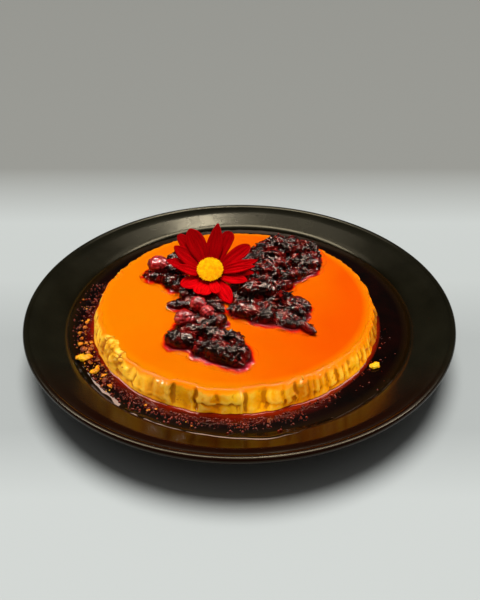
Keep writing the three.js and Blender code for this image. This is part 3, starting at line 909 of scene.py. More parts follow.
# Orange on the left turning redder to the right.
def caramelTone(place):
    across = spread(axisOf(place, "X"), -0.1, 0.1)
    swirl = spread(cloud(place, 11), 0.3, 0.7, -0.2, 0.2)
    return ramp(mathOf("ADD", across, swirl), [
        (0.05, (1.0, 0.20, 0.0003)),
        (0.5, (1.0, 0.15, 0.0002)),
        (0.95, (0.97, 0.088, 0.0002)),
    ])


# How much the top stands above or below its level, in mm.
def topLift(place):
    height, length = topLayer["swell"]
    return height * noise.noise(Vector((place.x, place.y, 0)) / length)


def caramelTopFinish():
    finish, shader = newFinish("caramelTop", {
        "Roughness": 0.3,
        "Specular IOR Level": 0.04,
        "Specular Tint": (1.0, 0.5, 0.1, 1),
        **soft(0.3, (1.0, 0.3, 0.02), 0.003),
        **coat(0.08, 0.04),
    })
    place = objectPlace(finish)
    fromMiddle = fromAxis(finish, flan["centre"])
    tone = wash(caramelTone(place), (1.0, 0.24, 0.0004), fromMiddle, 0.0895, 0.0965)
    connect(tone, shader, "Base Color")
    bump(shader, cloud(place, 140, 4), 0.0002, 0.3)
    return finish


def makeCaramelTop(settings):
    radius = flan["topRadius"]
    outline = [(radius + out, z) for out, z in settings["edge"]]
    outline += [(radius - inside, flan["top"]) for inside in settings["inner"]]
    top = turnUp("caramelTop", outline, settings["around"], flan["centre"])

    def shapeTop(place):
        angle, distance, z = aroundFlan(place)
        rim = ease((distance - settings["waveFrom"]) / settings["waveOver"])
        wave = outOfRound(angle) + sideRelief(angle, flan["top"])
        for middle, halfWidth, depth in settings["bites"]:
            ragged = 0.9 + 0.7 * noise.noise(Vector((math.cos(angle), math.sin(angle), 0)) * 42)
            wave -= depth * ragged * math.exp(-(((math.degrees(angle) - middle) / halfWidth) ** 4))
        height, length = settings["crinkle"]
        lift = topLift(place)
        lift += height * noise.noise(Vector((place.x, place.y, 3)) / length) * rim
        return fromFlan(angle, distance + wave * rim, z + (lift if z > 28.6 else 0))

    reshape(top, shapeTop)
    serve(top, "caramelTop", "caramel_layer", caramelTopFinish(), "caramel_layer")


makeCaramelTop(topLayer)
print("caramel layer laid")


# How far from the flan's middle a circle about the plate's middle lies in one direction, in mm.
def reachToPlateCircle(radius, angle):
    x, y = flan["centre"]
    along = x * math.cos(angle) + y * math.sin(angle)
    return -along + math.sqrt(along**2 - (x**2 + y**2) + radius**2)


# How much of a bead the caramel's edge has, its slope and its width.
def beadAt(angle):
    start, end, width = pool["bead"]
    degrees = math.degrees(angle) % 360
    slope = pool["beadSlope"] + pool["beadLeftSlope"] * max(0.0, (270 - degrees) / 45) ** 2.8
    if not start < degrees < end:
        return 0.0, slope, 1.0
    narrowing = lerp(pool["beadLeftShare"], 1.0, ease((degrees - 228) / 14))
    return ease((degrees - start) / 4) * ease((end - degrees) / 3), slope, width * narrowing


def syrupFinish():
    finish, shader = newFinish("caramelSyrup", {
        "Roughness": 0.03,
        "IOR": 1.42,
        "Specular Tint": (1.0, 0.6, 0.42, 1),
    })
    place = objectPlace(finish)
    patches = cloud(place, 60)
    fromMiddle, fromFoot = fromAxis(finish, (0, 0)), fromAxis(finish, flan["centre"])
    # painted reflection: a red glow near the flan's foot, on the left only, standing in for the flan's side
    # mirrored in the caramel
    near = spread(fromFoot, 0.1025, 0.1105, 1.0, 0.0)
    deep = ramp(patches, [(0.35, (0.001, 0.0003, 0.0002)), (0.7, (0.006, 0.0006, 0.0002))])
    onLeft = spread(axisOf(place, "X"), 0.03, 0.07, 1.0, 0.0)
    near = mathOf("MULTIPLY", near, onLeft)
    glow = mathOf("MULTIPLY", near, spread(patches, 0.3, 0.6))
    tone = mixColors(glow, deep, (0.16, 0.003, 0.001))
    # painted reflection of the flan's side: a red band along its foot
    tone = wash(tone, (0.30, 0.012, 0.0005), fromFoot, 0.1025, 0.1048, 0.8, 0.0)
    tone = wash(tone, (0.014, 0.006, 0.0008), fromMiddle, 0.1165, 0.1235)  # thin at the shore
    connect(tone, shader, "Base Color")
    bump(shader, cloud(place, 160, 2), 0.0002, 0.12)
    return finish


def makePool(settings):
    (inner, outer), level = settings["ring"], settings["level"]
    outline = [(lerp(inner, outer, share), level) for share in settings["shares"]]
    outline += [(outer + 1, flan["foot"]), (inner - 1, flan["foot"]), (inner, level)]
    ring = turnUp("caramelPool", outline, settings["around"], flan["centre"], hollow=True)

    def flood(place):
        angle, radius, z = aroundFlan(place)
        side = flan["baseRadius"] + outOfRound(angle)
        if z < level - 1:
            edge = reachToPlateCircle(settings["floorEdge"], angle)
            return fromFlan(angle, edge if radius > outer else side + 0.5, z)
        wet = level + 0.4
        start = straightSide(wet) + outOfRound(angle) + sideRelief(angle, wet) + 0.1
        shore = shoreAt(angle)
        end = reachToPlateCircle(shore, angle)
        distance = lerp(start, end, (radius - inner) / (outer - inner))
        spot = fromFlan(angle, distance, 0)
        inland = end - distance
        lake = level + settings["innerCreep"] * math.exp(-(distance - start) / settings["innerWidth"])
        lake += 0.05 * noise.noise(spot / 0.006)
        if shore < settings["lowShore"]:
            lake -= (level - wellHeight(shore)) * max(0.0, 1 - inland / settings["beach"]) ** 2
        bank = wellHeight(math.hypot(spot.x, spot.y) / mm) - 0.04
        depth = settings["film"] * min(1.0, inland / 0.3)
        beaded, slope, width = beadAt(angle)
        crown = min(inland, width)
        edge = wellHeight(shore) + slope * crown * (1.4 - 0.7 * crown / width) - bank
        edge = lerp(edge, settings["film"], ease((inland - width) / 3.5)) if inland > width else edge
        depth = lerp(depth, edge, beaded)
        return fromFlan(angle, distance, max(lake, bank + depth))

    reshape(ring, flood)
    serve(ring, "caramelPool", "caramel_syrup", syrupFinish(), "caramel_pool")


makePool(pool)
print("caramel poured")


# What floats on the caramel at the flan's foot: bubbles, and bits and crumbs of custard.
foam = {
    "bubbles": 1100,
    "bits": 92,
    "seed": 12,
    # the stretches where each gathers: from and to angle in degrees, their share, and how far off the
    # flan's foot it begins and spreads, in mm
    "bubbleStretches": [
        (160, 226, 0.42, 0.8, 8.0), (226, 292, 0.48, 3.6, 4.2), (292, 306, 0.06, 2, 3),
        (306, 350, 0.04, 1, 8),
    ],
    "bitStretches": [(168, 200, 0.18, 3, 6), (200, 228, 0.68, 2.0, 5.0), (228, 292, 0.14, 5, 3.5)],
    # their sizes in mm, drawn from these
    "bubbleSizes": (0.25, 0.35, 0.35, 0.5, 0.65, 0.85),
    "bitSizes": (0.5, 0.6, 0.7, 0.9, 1.2, 1.9),
    # the largest soaked lumps: place and size in mm
    "lumps": [
        (-104.2, -48.7, 3.6), (-107.5, -43.5, 2.6), (-100.3, -52.6, 2.4), (-109.3, -25.4, 2.6),
        (-111.4, -31.6, 2.2), (-84, -78.6, 2.8), (-79.4, -83.2, 2.2), (-96.6, -62.2, 2.4),
    ],
}
# The three largest crumbs: name, node, place, size in mm, turn in degrees and how many lumps each is.
crumbs = [
    ("crumbRight", "custard_crumb_right", (86.6, -66.5), (7, 5, 3.2), 25, 4),
    ("crumbLeft", "custard_crumb_left", (-101.5, -58.6), (9.5, 6, 3.4), -20, 6),
    ("crumbLowLeft", "custard_crumb_low_left", (-91.2, -71.2), (6, 4.4, 3), 40, 4),
]


# A spot on the caramel and a size, drawn for something that stands out by a share of its size.
def drawAfloat(draw, stretches, sizes, out):
    pick = draw.random()
    for start, end, share, off, reach in stretches:
        if pick < share:
            break
        pick -= share
    angle = math.radians(draw.uniform(start, end))
    foot = straightSide(pool["level"]) + outOfRound(angle)
    farthest = reachToPlateCircle(shoreAt(angle) - 2.5, angle)
    distance = min(foot + off + abs(draw.gauss(0, reach)), farthest)
    size = draw.choice(sizes) * draw.uniform(0.8, 1.2)
    return fromFlan(angle, distance, pool["level"] + out * size), size


def bubbleFinish():
    sockets = {"Roughness": 0.04, "Specular Tint": (1.0, 0.48, 0.34, 1), **coat(0.12, 0.02)}
    stops = [(0.35, (0.04, 0.002, 0.001)), (0.65, (0.20, 0.012, 0.003))]
    return mottledFinish("bubbleSkin", sockets, 90, stops)


def makeBubbles(settings):
    draw = random.Random(settings["seed"])
    bubble = ballOf(2, radius=1)
    places = []
    for _ in range(settings["bubbles"]):
        centre, size = drawAfloat(draw, settings["bubbleStretches"], settings["bubbleSizes"], 0.15)
        places.append(Matrix.Translation(centre) @ Matrix.Scale(size * mm, 4))
    bubbles = joinUp(copyOut(bubble, places))
    serve(bubbles, "caramelBubbles", "caramel_syrup", bubbleFinish())


def crumbFinish(name, stops):
    sockets = {
        "Roughness": 0.4,
        "Specular IOR Level": 0.25,
        **soft(0.5, (1.0, 0.5, 0.1), 0.002),
        **coat(0.2, 0.1),
    }
    return mottledFinish(name, sockets, 130, stops, grain=(900, 0.0003, 0.4))


def makeBits(settings, finish):
    draw = random.Random(settings["seed"] + 1)
    bits = []
    for shape in range(4):
        bit = craggy((1, 1, 0.7), shape + 1, detail=3, depth=0.6)
        places = []
        for _ in range(settings["bits"] // 4):
            centre, size = drawAfloat(draw, settings["bitStretches"], settings["bitSizes"], 0.1)
            places.append(dropAt(centre, size, 1.7, 0.7, draw))
        bits += copyOut(bit, places)
    for shape, (x, y, size) in enumerate(settings["lumps"]):
        lump = craggy((1.3 * size, size, 0.6 * size), shape + 20, detail=4, depth=0.6)
        lump.rotation_euler.z = draw.uniform(0, fullTurn)
        lump.location = metres(x, y, pool["level"] + 0.05 * size)
        bits.append(lump)
    serve(joinUp(bits), "custardBits", "custard", finish)


# A crumb is a few torn lumps that stuck together.
def makeCrumbs(finish):
    draw = random.Random(foam["seed"] + 2)
    for name, node, place, (long, wide, tall), turn, count in crumbs:
        lumps = []
        for part in range(count):
            lump = craggy((0.55 * long, 0.62 * wide, 0.8 * tall), part + turn, detail=4, depth=0.5)
            lump.rotation_euler.z = draw.uniform(0, fullTurn)
            along = lerp(-0.25, 0.25, part / (count - 1)) * long
            aside = draw.uniform(-0.18, 0.18) * wide
            lump.location = metres(along, aside, draw.uniform(0, 0.1) * tall)
            lumps.append(lump)
        whole = joinUp(lumps)
        whole.rotation_euler.z = math.radians(turn)
        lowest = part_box(node)[0].z / mm
        whole.location = metres(*place, lowest + 0.25 * tall)
        serve(whole, name, "custard", finish, node)


makeBubbles(foam)
makeBits(foam, crumbFinish("soakedCustard", [
    (0.42, (0.14, 0.02, 0.001)),
    (0.54, (0.60, 0.15, 0.002)),
    (0.68, (1.0, 0.42, 0.01)),
]))
makeCrumbs(crumbFinish("looseCustard", [
    (0.36, (0.70, 0.20, 0.001)),
    (0.5, (1.0, 0.40, 0.002)),
    (0.66, (1.0, 0.55, 0.012)),
]))
print("bubbles and crumbs afloat")


# The compote: each spoonful is a body of pulp with a film of syrup at its foot and skins laid over it.
heapBase = flan["top"] + 0.3
compote = {
    "voxel": 0.6,
    "warp": (2.2, 7),  # how far the folds are drawn aside, and over what length, in mm
    "foldSize": 3.8,
    "foldDepth": 1.3,
    "creaseSize": 1.8,
    "creaseDepth": 0.24,
    "filmVoxel": 0.5,
    "filmThick": 0.8,
    "filmReach": 2.4,
    "stainReach": 5.6,
    "furrows": (0.14, 0.08, 0.015),  # of the single fruit: deep, middling and fine
    # the skins: how thick, how far over the heap's foot the lowest lies, and from what height they drop
    "shredThick": 0.7,
    "shredLowest": 1.2,
    "dropHeight": 80,
    "seed": 31,
}
# How many torn skins lie on each heap.
spoonfuls = {"compote_left": 44, "compote_front": 90, "compote_right": 230}
# Single fruit that stand out: place, then length, width, height, turn in degrees and lift, in mm.
bigFruit = {
    "compote_left": [
        (-61, 14.5, 20, 8, 6.4, -14, 1.8), (-51, 8, 17, 9, 8, -40, 3), (-51, 22, 18, 10, 9, 15, 4.4),
        (-44.5, 2, 11, 9, 8, 60, 2.6),
    ],
    "compote_front": [
        (-11.5, -72.4, 24, 14.5, 11, -27, 3.8), (-37, -60, 19, 13, 10, -8, 2.8),
        (-29.5, -53, 17, 10, 8, 14, 4.2), (-15, -58, 16, 11, 8, -24, 4.4), (-4, -60, 16, 9, 8, -38, 3.2),
        (1.5, -72, 14, 9, 8, -66, 2.6), (-14.5, -42, 13, 10, 9, 30, 3.4), (-24, -46, 12, 8, 7, -30, 4.4),
        (-43, -20.5, 15, 6, 4.5, 8, 1.8), (-16.5, -25, 15, 9, 8, -50, 2.6),
    ],
    "compote_right": [
        (13, -6.5, 27, 19, 13, 10, 4.8), (4, -29, 22, 13, 10, -18, 2.8), (18.5, -36, 12, 10, 8, 10, 2.8),
        (35, -22, 28, 11, 9, -62, 3.6), (42, -21, 18, 10, 7, -45, 2.6), (42.5, -45, 20, 5.4, 4.6, -48, 2),
        (33, -43, 14, 6.5, 5, -18, 1.8), (41, 15, 19, 9, 8, 24, 3.2), (57, 32, 16, 10, 9, 40, 3.2),
    ],
}


def ridges(place):
    return 1 - 2 * abs(noise.noise(place))


def wrinkle(place):
    far, length = compote["warp"]
    warped = place + far * noise.noise_vector(place / length)
    folds = ridges(warped / compote["foldSize"]) - 0.45
    creases = ridges(warped / compote["creaseSize"] + Vector((9, 4, 1))) - 0.45
    return compote["foldDepth"] * folds + compote["creaseDepth"] * creases


def compoteFinish():
    finish, shader = newFinish("stewedBerries", {
        "Specular IOR Level": 0.32,
        "Specular Tint": (1.0, 0.7, 0.52, 1),
    })
    place = objectPlace(finish)
    patches = cloud(place, 150, 4, 0.6)
    tone = ramp(patches, [
        (0.35, (0.002, 0.0005, 0.0004)),
        (0.48, (0.012, 0.0008, 0.0006)),
        (0.55, (0.11, 0.0025, 0.0015)),
        (0.7, (0.32, 0.007, 0.004)),
    ])
    foot, knee = metres(heapBase, heapBase + 2.6)
    tone = wash(tone, (0.20, 0.002, 0.001), axisOf(place, "Z"), foot, knee, 0.8, 0.0)
    connect(tone, shader, "Base Color")
    connect(spread(patches, 0.3, 0.7, 0.015, 0.04), shader, "Roughness")
    bump(shader, cloud(place, 420, 2), 0.0005, 0.05)
    return finish


def filmFinish():
    finish, shader = newFinish("berrySyrup", {
        "Roughness": 0.03,
        "Specular IOR Level": 0.26,
        "Specular Tint": (1.0, 0.72, 0.6, 1),
        **soft(0.3, (1.0, 0.15, 0.05), 0.0015),
    })
    place = objectPlace(finish)
    reach = marked(finish, "reach")
    tone = ramp(reach, [
        (0.2, (0.14, 0.001, 0.0003)),
        (0.75, (0.40, 0.002, 0.0003)),
        (1.0, (0.85, 0.008, 0.0003)),
    ])
    tone = mixColors(spread(reach, 1.1, 2.1), tone, caramelTone(place))
    connect(tone, shader, "Base Color")
    bump(shader, cloud(place, 160, 2), 0.0002, 0.1)
    return finish


# A copy of a node's solid to work on, its doubled vertices joined.
def copyNode(nodeName, name):
    node = frame["nodes"][nodeName]
    piece = node.copy()
    piece.data = node.data.copy()
    piece.parent = None
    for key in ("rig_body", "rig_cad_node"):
        if key in piece:
            del piece[key]
    bpy.context.scene.collection.objects.link(piece)
    piece.hide_render = False
    piece.hide_viewport = False
    piece.name = name
    take(piece)
    bpy.ops.object.mode_set(mode="EDIT")
    bpy.ops.mesh.select_all(action="SELECT")
    bpy.ops.mesh.remove_doubles(threshold=0.005 * mm)
    bpy.ops.object.mode_set(mode="OBJECT")
    return piece


def makePulp(nodeName, name, settings):
    pulp = copyNode(nodeName, name)
    modify(pulp, "REMESH", mode="VOXEL", voxel_size=settings["voxel"] * mm)
    modify(pulp, "SMOOTH", factor=0.5, iterations=3)
    pushOut(pulp, lambda normal, place: normal * (wrinkle(place) * ease((place.z - heapBase) / 1.5)))
    return pulp


# The syrup that has run out from under a heap: thick beside it, then a stain that fades into the top.
# Its reach attribute is 1 at the edge of the thick part and 2 where the stain ends.
def makeFilm(nodeName, name, settings, finish):
    film = copyNode(nodeName, name)
    tree = BVHTree.FromObject(film, bpy.context.evaluated_depsgraph_get())
    foot = heapBase + 0.3
    reshape(film, lambda place: Vector((place.x, place.y, min(place.z, (foot + 0.9) * mm))))
    modify(film, "REMESH", mode="VOXEL", voxel_size=settings["voxel"] * mm)
    pushOut(film, lambda normal, place: Vector((normal.x, normal.y, 0)) * settings["stainReach"])
    modify(film, "REMESH", mode="VOXEL", voxel_size=settings["filmVoxel"] * mm)
    heights = [vertex.co.z for vertex in film.data.vertices]
    middle = (min(heights) + max(heights)) / 2
    reaches = []

    def spill(place):
        out = tree.find_nearest(Vector((place.x, place.y, foot * mm)))[3] / mm
        thick = settings["filmReach"] * max(0.3, 0.7 + 1.1 * noise.noise(place / 0.009))
        fade = 0.7 + 3.2 * max(0.0, 0.25 + noise.noise(place / 0.014 + Vector((7, 0, 0))))
        reaches.append(out / thick if out < thick else 1 + (out - thick) / fade)
        rise = settings["filmThick"] * math.sqrt(max(0.0, 1 - (out / thick) ** 5))
        z = flan["top"] + topLift(place) + 0.12 + rise if place.z > middle else flan["top"] - 0.3
        return Vector((place.x, place.y, z * mm))

    reshape(film, spill)
    mark(film, "reach", reaches)
    serve(film, name, "compote", finish)


# A stewed fruit: a drawn-out ball with deep lengthwise furrows and fine creases.
def makeFruit(fruit, seed):
    x, y, long, wide, tall, turn, lift = fruit
    lump = ballOf(5)
    shift = Vector((seed * 5.1, seed * 2.3, seed * 1.7))

    def furrow(place):
        stretched = Vector((place.x * 2.2, place.y * 3.8, place.z * 3.8)) + shift
        warped = stretched + 0.7 * noise.noise_vector(stretched)
        deep, middling, fine = compote["furrows"]
        swell = 1 + deep * (ridges(warped) - 0.4)
        swell += middling * (ridges(warped * 2.3 + shift) - 0.4)
        return place * (swell + fine * (ridges(warped * 4.6 + shift) - 0.4))

    reshape(lump, furrow)
    lump.scale = metres(long, wide, tall)
    lump.rotation_euler.z = math.radians(turn)
    lump.location = metres(x, y, heapBase + lift + 0.35)
    settle(lump)
    floor = heapBase * mm
    reshape(lump, lambda place: Vector((place.x, place.y, max(place.z, floor))))
    return lump


# A torn strip of skin, curled along and across, with a crumpled edge.
def makeShredShape(draw):
    take()
    bpy.ops.mesh.primitive_grid_add(x_subdivisions=9, y_subdivisions=3, size=1)
    shred = bpy.context.object
    long, wide = draw.uniform(6, 11), draw.uniform(1.5, 3.0)
    bow, twist, cup = draw.uniform(-1.6, 1.6), draw.uniform(-1.2, 1.2), draw.uniform(0.5, 1.1)
    shift = Vector((draw.uniform(0, 50), 0, 0))

    def curl(place):
        along, across = place.x * 2, place.y * 2
        width = wide * 0.5 * (1 - 0.75 * abs(along) ** 2.5)
        crease = noise.noise(place * 5 + shift)
        side = across * width * (1 + 0.4 * crease)
        height = -cup * across**2 + 1.1 * crease - 0.6 * along**2
        turned = Matrix.Rotation(twist * along, 3, "X") @ Vector((0, side, height))
        return Vector((along * long / 2, turned.y + bow * along**2 * 1.6, turned.z)) * mm

    reshape(shred, curl)
    modify(shred, "SOLIDIFY", thickness=compote["shredThick"] * mm, offset=0)
    return shred


def strewShreds(pulp, count, draw):
    tree = BVHTree.FromObject(pulp, bpy.context.evaluated_depsgraph_get())
    low = [min(v.co[k] for v in pulp.data.vertices) for k in range(2)]
    high = [max(v.co[k] for v in pulp.data.vertices) for k in range(2)]
    shapes = [makeShredShape(draw) for _ in range(8)]
    places = [[] for _ in shapes]
    above = compote["dropHeight"] * mm
    lowest = (heapBase + compote["shredLowest"]) * mm
    laid = 0
    while laid < count:
        start = Vector((draw.uniform(low[0], high[0]), draw.uniform(low[1], high[1]), above))
        turn = Matrix.Rotation(draw.uniform(0, fullTurn), 4, "Z")
        size = draw.uniform(0.6, 1.1)
        pick = draw.randrange(len(shapes))
        spot, normal, _, _ = tree.ray_cast(start, Vector((0, 0, -1)))
        if spot is None or spot.z < lowest:
            continue
        upright = (normal + Vector((0, 0, 0.6))).normalized()
        lifted = Matrix.Translation(spot + upright * compote["shredThick"] * mm)
        places[pick].append(lifted @ standAlong(upright) @ turn @ Matrix.Scale(size, 4))
        laid += 1
    shreds = []
    for shape, spots in zip(shapes, places):
        shreds += copyOut(shape, spots)
    return shreds


def makeCompote(settings):
    finish, filmPaint = compoteFinish(), filmFinish()
    for number, (nodeName, shredCount) in enumerate(spoonfuls.items()):
        name = pieceName(nodeName)
        draw = random.Random(settings["seed"] + number)
        pulp = makePulp(nodeName, name, settings)
        shreds = strewShreds(pulp, shredCount, draw)
        fruit = [makeFruit(one, seed) for seed, one in enumerate(bigFruit[nodeName])]
        whole = joinUp([pulp, *fruit, *shreds])
        serve(whole, name, "compote", finish, nodeName)
        makeFilm(nodeName, name + "Syrup", settings, filmPaint)
        print(name, len(whole.data.polygons), "faces")


makeCompote(compote)
print("compote spooned on")


# Whole red berries, knobbly all over like the drupelets of a bramble: place, size and lift in mm, turn
# in degrees, and how fine the drupelets are.
berries = {
    "berry_left": ((-62, 24.4), (16, 15, 12.5), 7, 20, 4.2),
    "berry_front_left": ((-36, -43), (13, 12.4, 11), 6.4, 0, 5.4),
    "berry_front_upper": ((-27.8, -29), (11, 10.6, 10), 8, 10, 4.8),
    "berry_front_right": ((-21.4, -36.4), (10, 9.4, 9), 6.4, 50, 4.4),
}
drupelets = {"rise": 0.2, "level": 0.42, "dents": 0.14}


def berryFinish():
    finish, shader = newFinish("redBerry", {
        "Roughness": 0.25,
        "Specular Tint": (1.0, 0.6, 0.5, 1),
        **soft(0.35, (1.0, 0.12, 0.08), 0.002),
        **coat(0.22, 0.06),
    })
    place = objectPlace(finish)
    tone = ramp(cloud(place, 150, 4), [
        (0.34, (0.26, 0.004, 0.004)),
        (0.5, (0.60, 0.02, 0.02)),
        (0.66, (0.85, 0.08, 0.08)),
    ])
    # painted shade: darker in the gaps between the drupelets
    tone = wash(tone, (0.18, 0.002, 0.002), marked(finish, "gap"), 0.45, 0.75)
    connect(tone, shader, "Base Color")
    bump(shader, cloud(place, 700, 2), 0.0003, 0.3)
    return finish


def makeBerries():
    finish = berryFinish()
    for seed, (nodeName, (place, size, lift, turn, fineness)) in enumerate(berries.items()):
        ball = ballOf(5)
        shift = Vector((seed * 11.0, 4.0, 2.0))
        gapShades = []

        def swell(place):
            spot = place * fineness + shift
            nearest = noise.voronoi(spot + 0.3 * noise.noise_vector(spot))[0][0]
            folds = abs(noise.noise(place * 3 + shift))
            gapShades.append(nearest)
            swollen = drupelets["rise"] * (drupelets["level"] - min(1.0, nearest) ** 2)
            return place * (1.0 + swollen - drupelets["dents"] * (folds - 0.2))

        reshape(ball, swell)
        # each vertex's distance from its drupelet's middle, which the finish paints as shade in the gaps
        mark(ball, "gap", gapShades)
        ball.scale = metres(*size)
        ball.rotation_euler.z = math.radians(turn)
        ball.location = metres(*place, heapBase + lift)
        serve(ball, pieceName(nodeName), "berry", finish, nodeName)


makeBerries()
print("berries set")


# The daisy, laid out flat about its own middle in mm and then leaned back into place.
daisy = {
    "centre": (-21.2, 5.9, 41.6),
    "tilt": 30,
    "discRadius": 10,
    "discHeight": 3.6,
    "discFoot": 2.9,
    "florets": 330,
    "petalRoot": 6.6,
    "petalThickness": 0.45,
    "notchFrom": 0.88,
    "furrow": (0.7, 0.6),  # how far a petal's edges turn up and its two furrows sink, in mm
    "layerStep": 1.15,
    "steps": 26,
    "strips": 12,
    # turn, reach, width, rise, layer, where it is widest, how blunt its tip is and how deep its notch,
    # of each petal anticlockwise from the right
    "petals": [
        (7, 34.4, 7.6, 24, 1, 0.55, 1.5, 0.4), (32, 34.2, 11.5, 22, 0, 0.62, 2.4, 0.6),
        (64, 33.6, 10.6, 22, 0, 0.7, 3.6, 0.8), (81.6, 36.2, 12.6, 22.4, 1, 0.45, 1.25, 0),
        (117.7, 33.4, 14.4, 26, 2, 0.6, 2.2, 0.3), (131, 37, 9.6, 20.5, 0, 0.65, 2.6, 1.4),
        (148.4, 31, 12, 25, 1, 0.5, 1.7, 0.5), (169.2, 32, 10.4, 21, 0, 0.5, 1.35, 0),
        (186, 23.6, 8.6, 40, 2, 0.5, 1.3, 0), (218, 25.2, 12.4, 30, 0, 0.55, 1.8, 0.6),
        (256.6, 24.6, 13.4, 38, 1, 0.65, 3.2, 1.4), (284, 23.6, 8, 36, 2, 0.6, 2.2, 1.2),
        (300, 31, 11.6, 14, 0, 0.55, 1.6, 0.4), (338, 29, 10.2, 20, 1, 0.5, 1.8, 0.5),
        (353, 31.8, 8.2, 19, 0, 0.5, 1.4, 0.4), (357, 32.4, 7, 27, 2, 0.5, 1.35, 0),
    ],
}


def intoDaisyPlace(extraTurn=0.0):
    return (
        Matrix.Translation(Vector(daisy["centre"]) * mm)
        @ Matrix.Rotation(math.radians(daisy["tilt"]), 4, "X")
        @ Matrix.Rotation(math.radians(extraTurn), 4, "Z")
    )


def petalFinish():
    finish, shader = newFinish("petalVelvet", {
        "Roughness": 0.5,
        "Sheen Weight": 0.05,
        "Sheen Roughness": 0.4,
        "Sheen Tint": (1.0, 0.1, 0.1, 1),
        "Specular IOR Level": 0.06,
    })
    tree = finish.node_tree
    chart = addNode(tree, "ShaderNodeTexCoord").outputs["UV"]
    veins = cloud(mapped(tree, chart, scale=(1.2, 22, 1)), 1.6)
    tone = ramp(veins, [(0.3, (0.36, 0.0003, 0.0008)), (0.56, (1.0, 0.0008, 0.005))])
    # darker towards the root, and painted shade at the back of the daisy, whose petals there face away from
    # the light
    root, back = axisOf(chart, "X"), axisOf(objectPlace(finish), "Y")
    tone = wash(tone, (0.32, 0.0003, 0.0006), root, 0.1, 0.45, 0.65, 0.0)
    tone = wash(tone, (0.30, 0.0003, 0.0008), back, -0.004, 0.024, 0.0, 0.65)
    connect(tone, shader, "Base Color")
    bump(shader, veins, 0.0006, 0.9)
    return finish


def makePetal(number, petal, finish):
    turn, reach, width, rise, layer, widest, blunt, notch = petal
    climb = math.tan(math.radians(rise))
    wave = 0.2 * math.sin(turn)
    steps, strips = daisy["steps"], daisy["strips"]
    take()
    bpy.ops.mesh.primitive_grid_add(x_subdivisions=steps, y_subdivisions=strips, size=1)
    leaf = bpy.context.object

    def lay(place):
        along, across = place.x + 0.5, place.y * 2
        if along < widest:
            outline = 0.5 + 0.5 * math.sin(0.5 * math.pi * along / widest)
        else:
            outline = (1 - (0.985 * (along - widest) / (1 - widest)) ** blunt) ** 0.7
        half = 0.5 * width * outline
        out = daisy["petalRoot"] + (reach - daisy["petalRoot"]) * along
        nearTip = ease((along - daisy["notchFrom"]) / (1 - daisy["notchFrom"]))
        out -= notch * nearTip * math.cos(1.5 * math.pi * across) ** 2
        straight = max(0.0, out - daisy["discRadius"] - 0.8)
        cupped = straight * climb - 0.004 * straight**2
        body = math.sin(math.pi * min(1.0, along * 1.02))
        edge, furrow = daisy["furrow"]
        furrows = edge * across**2 - furrow * math.sin(1.5 * math.pi * across) ** 2
        ripple = wave * math.sin(5 * along + 2 * across) * along
        height = layer * daisy["layerStep"] + cupped + furrows * body + ripple
        return Vector((out, half * across, height)) * mm

    reshape(leaf, lay)
    modify(leaf, "SOLIDIFY", thickness=daisy["petalThickness"] * mm, offset=-1)
    modify(leaf, "SUBSURF", levels=1, render_levels=1)
    leaf.matrix_world = intoDaisyPlace(turn)
    nodeName = f"petal_{number:02d}"
    serve(leaf, pieceName(nodeName), "petal", finish, nodeName)


def floretFinish():
    sockets = {"Roughness": 0.6, "Specular IOR Level": 0.08, **soft(0.2, (1.0, 0.6, 0.1), 0.001)}
    stops = [(0.35, (0.86, 0.36, 0.001)), (0.6, (0.95, 0.56, 0.002))]
    return mottledFinish("yellowFlorets", sockets, 420, stops, grain=(1500, 0.0003, 0.5))


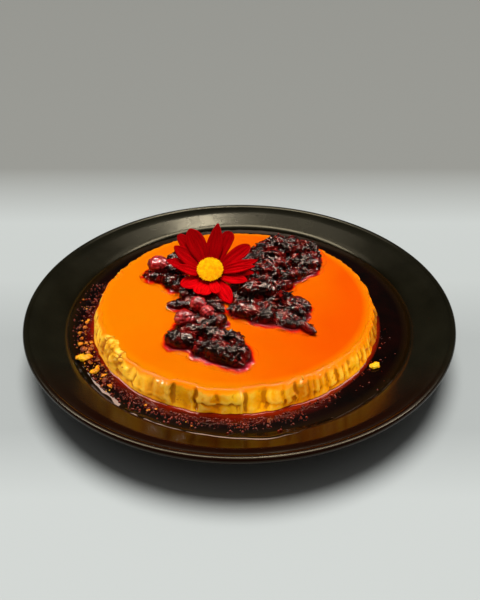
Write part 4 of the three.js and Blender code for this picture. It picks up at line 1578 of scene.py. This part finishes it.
def makeDisc(settings):
    radius, foot = settings["discRadius"], settings["discFoot"]
    dome = settings["discHeight"] - 0.7
    outline = [(radius - 0.8, foot)]
    for step in range(1, 9):
        slope = math.pi / 2 * step / 9
        outline.append(((radius - 0.5) * math.cos(slope), foot + dome * math.sin(slope)))
    disc = turnUp("flowerDisc", outline, 48)
    bud = ballOf(2)
    places = []
    for index in range(settings["florets"]):
        out = math.sqrt((index + 0.5) / settings["florets"])
        angle = index * goldenTurn
        slope = math.acos(min(1.0, out))
        ring = (radius - 0.6) * out
        spot = Vector((ring * math.cos(angle), ring * math.sin(angle), foot + dome * math.sin(slope)))
        lean = Vector((0.8 * out * math.cos(angle), 0.8 * out * math.sin(angle), 1)).normalized()
        size = lerp(0.8, 1.0, out)
        stretch = Matrix.Diagonal((*metres(size, size, 1.5 * size), 1))
        places.append(Matrix.Translation(spot * mm) @ standAlong(lean) @ stretch)
    disc = joinUp([disc, *copyOut(bud, places)])
    disc.matrix_world = intoDaisyPlace()
    serve(disc, "flowerDisc", "flower_disc", floretFinish(), "flower_disc")


# The green cup under the petals, about the daisy's own middle in mm.
calyx = {
    "outline": [
        (1.6, -7.4), (1.85, -7.2), (1.9, -5.8), (2.6, -5.3), (4.6, -4.9), (6.6, -4.1), (7.9, -2.9),
        (8.4, -1.6), (8.4, -1.1), (7.6, -1.0),
    ],
    "around": 56,
    "ribs": 14,
    "ribDepth": 0.035,
}


def calyxFinish():
    stops = [(0.35, (0.05, 0.12, 0.02)), (0.65, (0.13, 0.24, 0.05))]
    return mottledFinish("greenCalyx", {"Roughness": 0.55}, 300, stops, grain=(900, 0.0003, 0.4))


def makeCalyx(settings):
    cup = turnUp("flowerCalyx", settings["outline"], settings["around"])

    def ribbed(place):
        angle, radius = math.atan2(place.y, place.x), math.hypot(place.x, place.y)
        rib = settings["ribDepth"] * math.cos(settings["ribs"] * angle)
        grow = 1 + rib * ease((radius / mm - 2.2) / 2)
        return Vector((place.x * grow, place.y * grow, place.z))

    reshape(cup, ribbed)
    cup.matrix_world = intoDaisyPlace()
    serve(cup, "flowerCalyx", "calyx", calyxFinish(), "flower_calyx")


def makeDaisy(settings):
    finish = petalFinish()
    for index, petal in enumerate(settings["petals"]):
        makePetal(index + 1, petal, finish)
    makeDisc(settings)
    makeCalyx(calyx)


makeDaisy(daisy)
print("daisy laid on")


take()
setFills(stageSettings)
print("fills set")
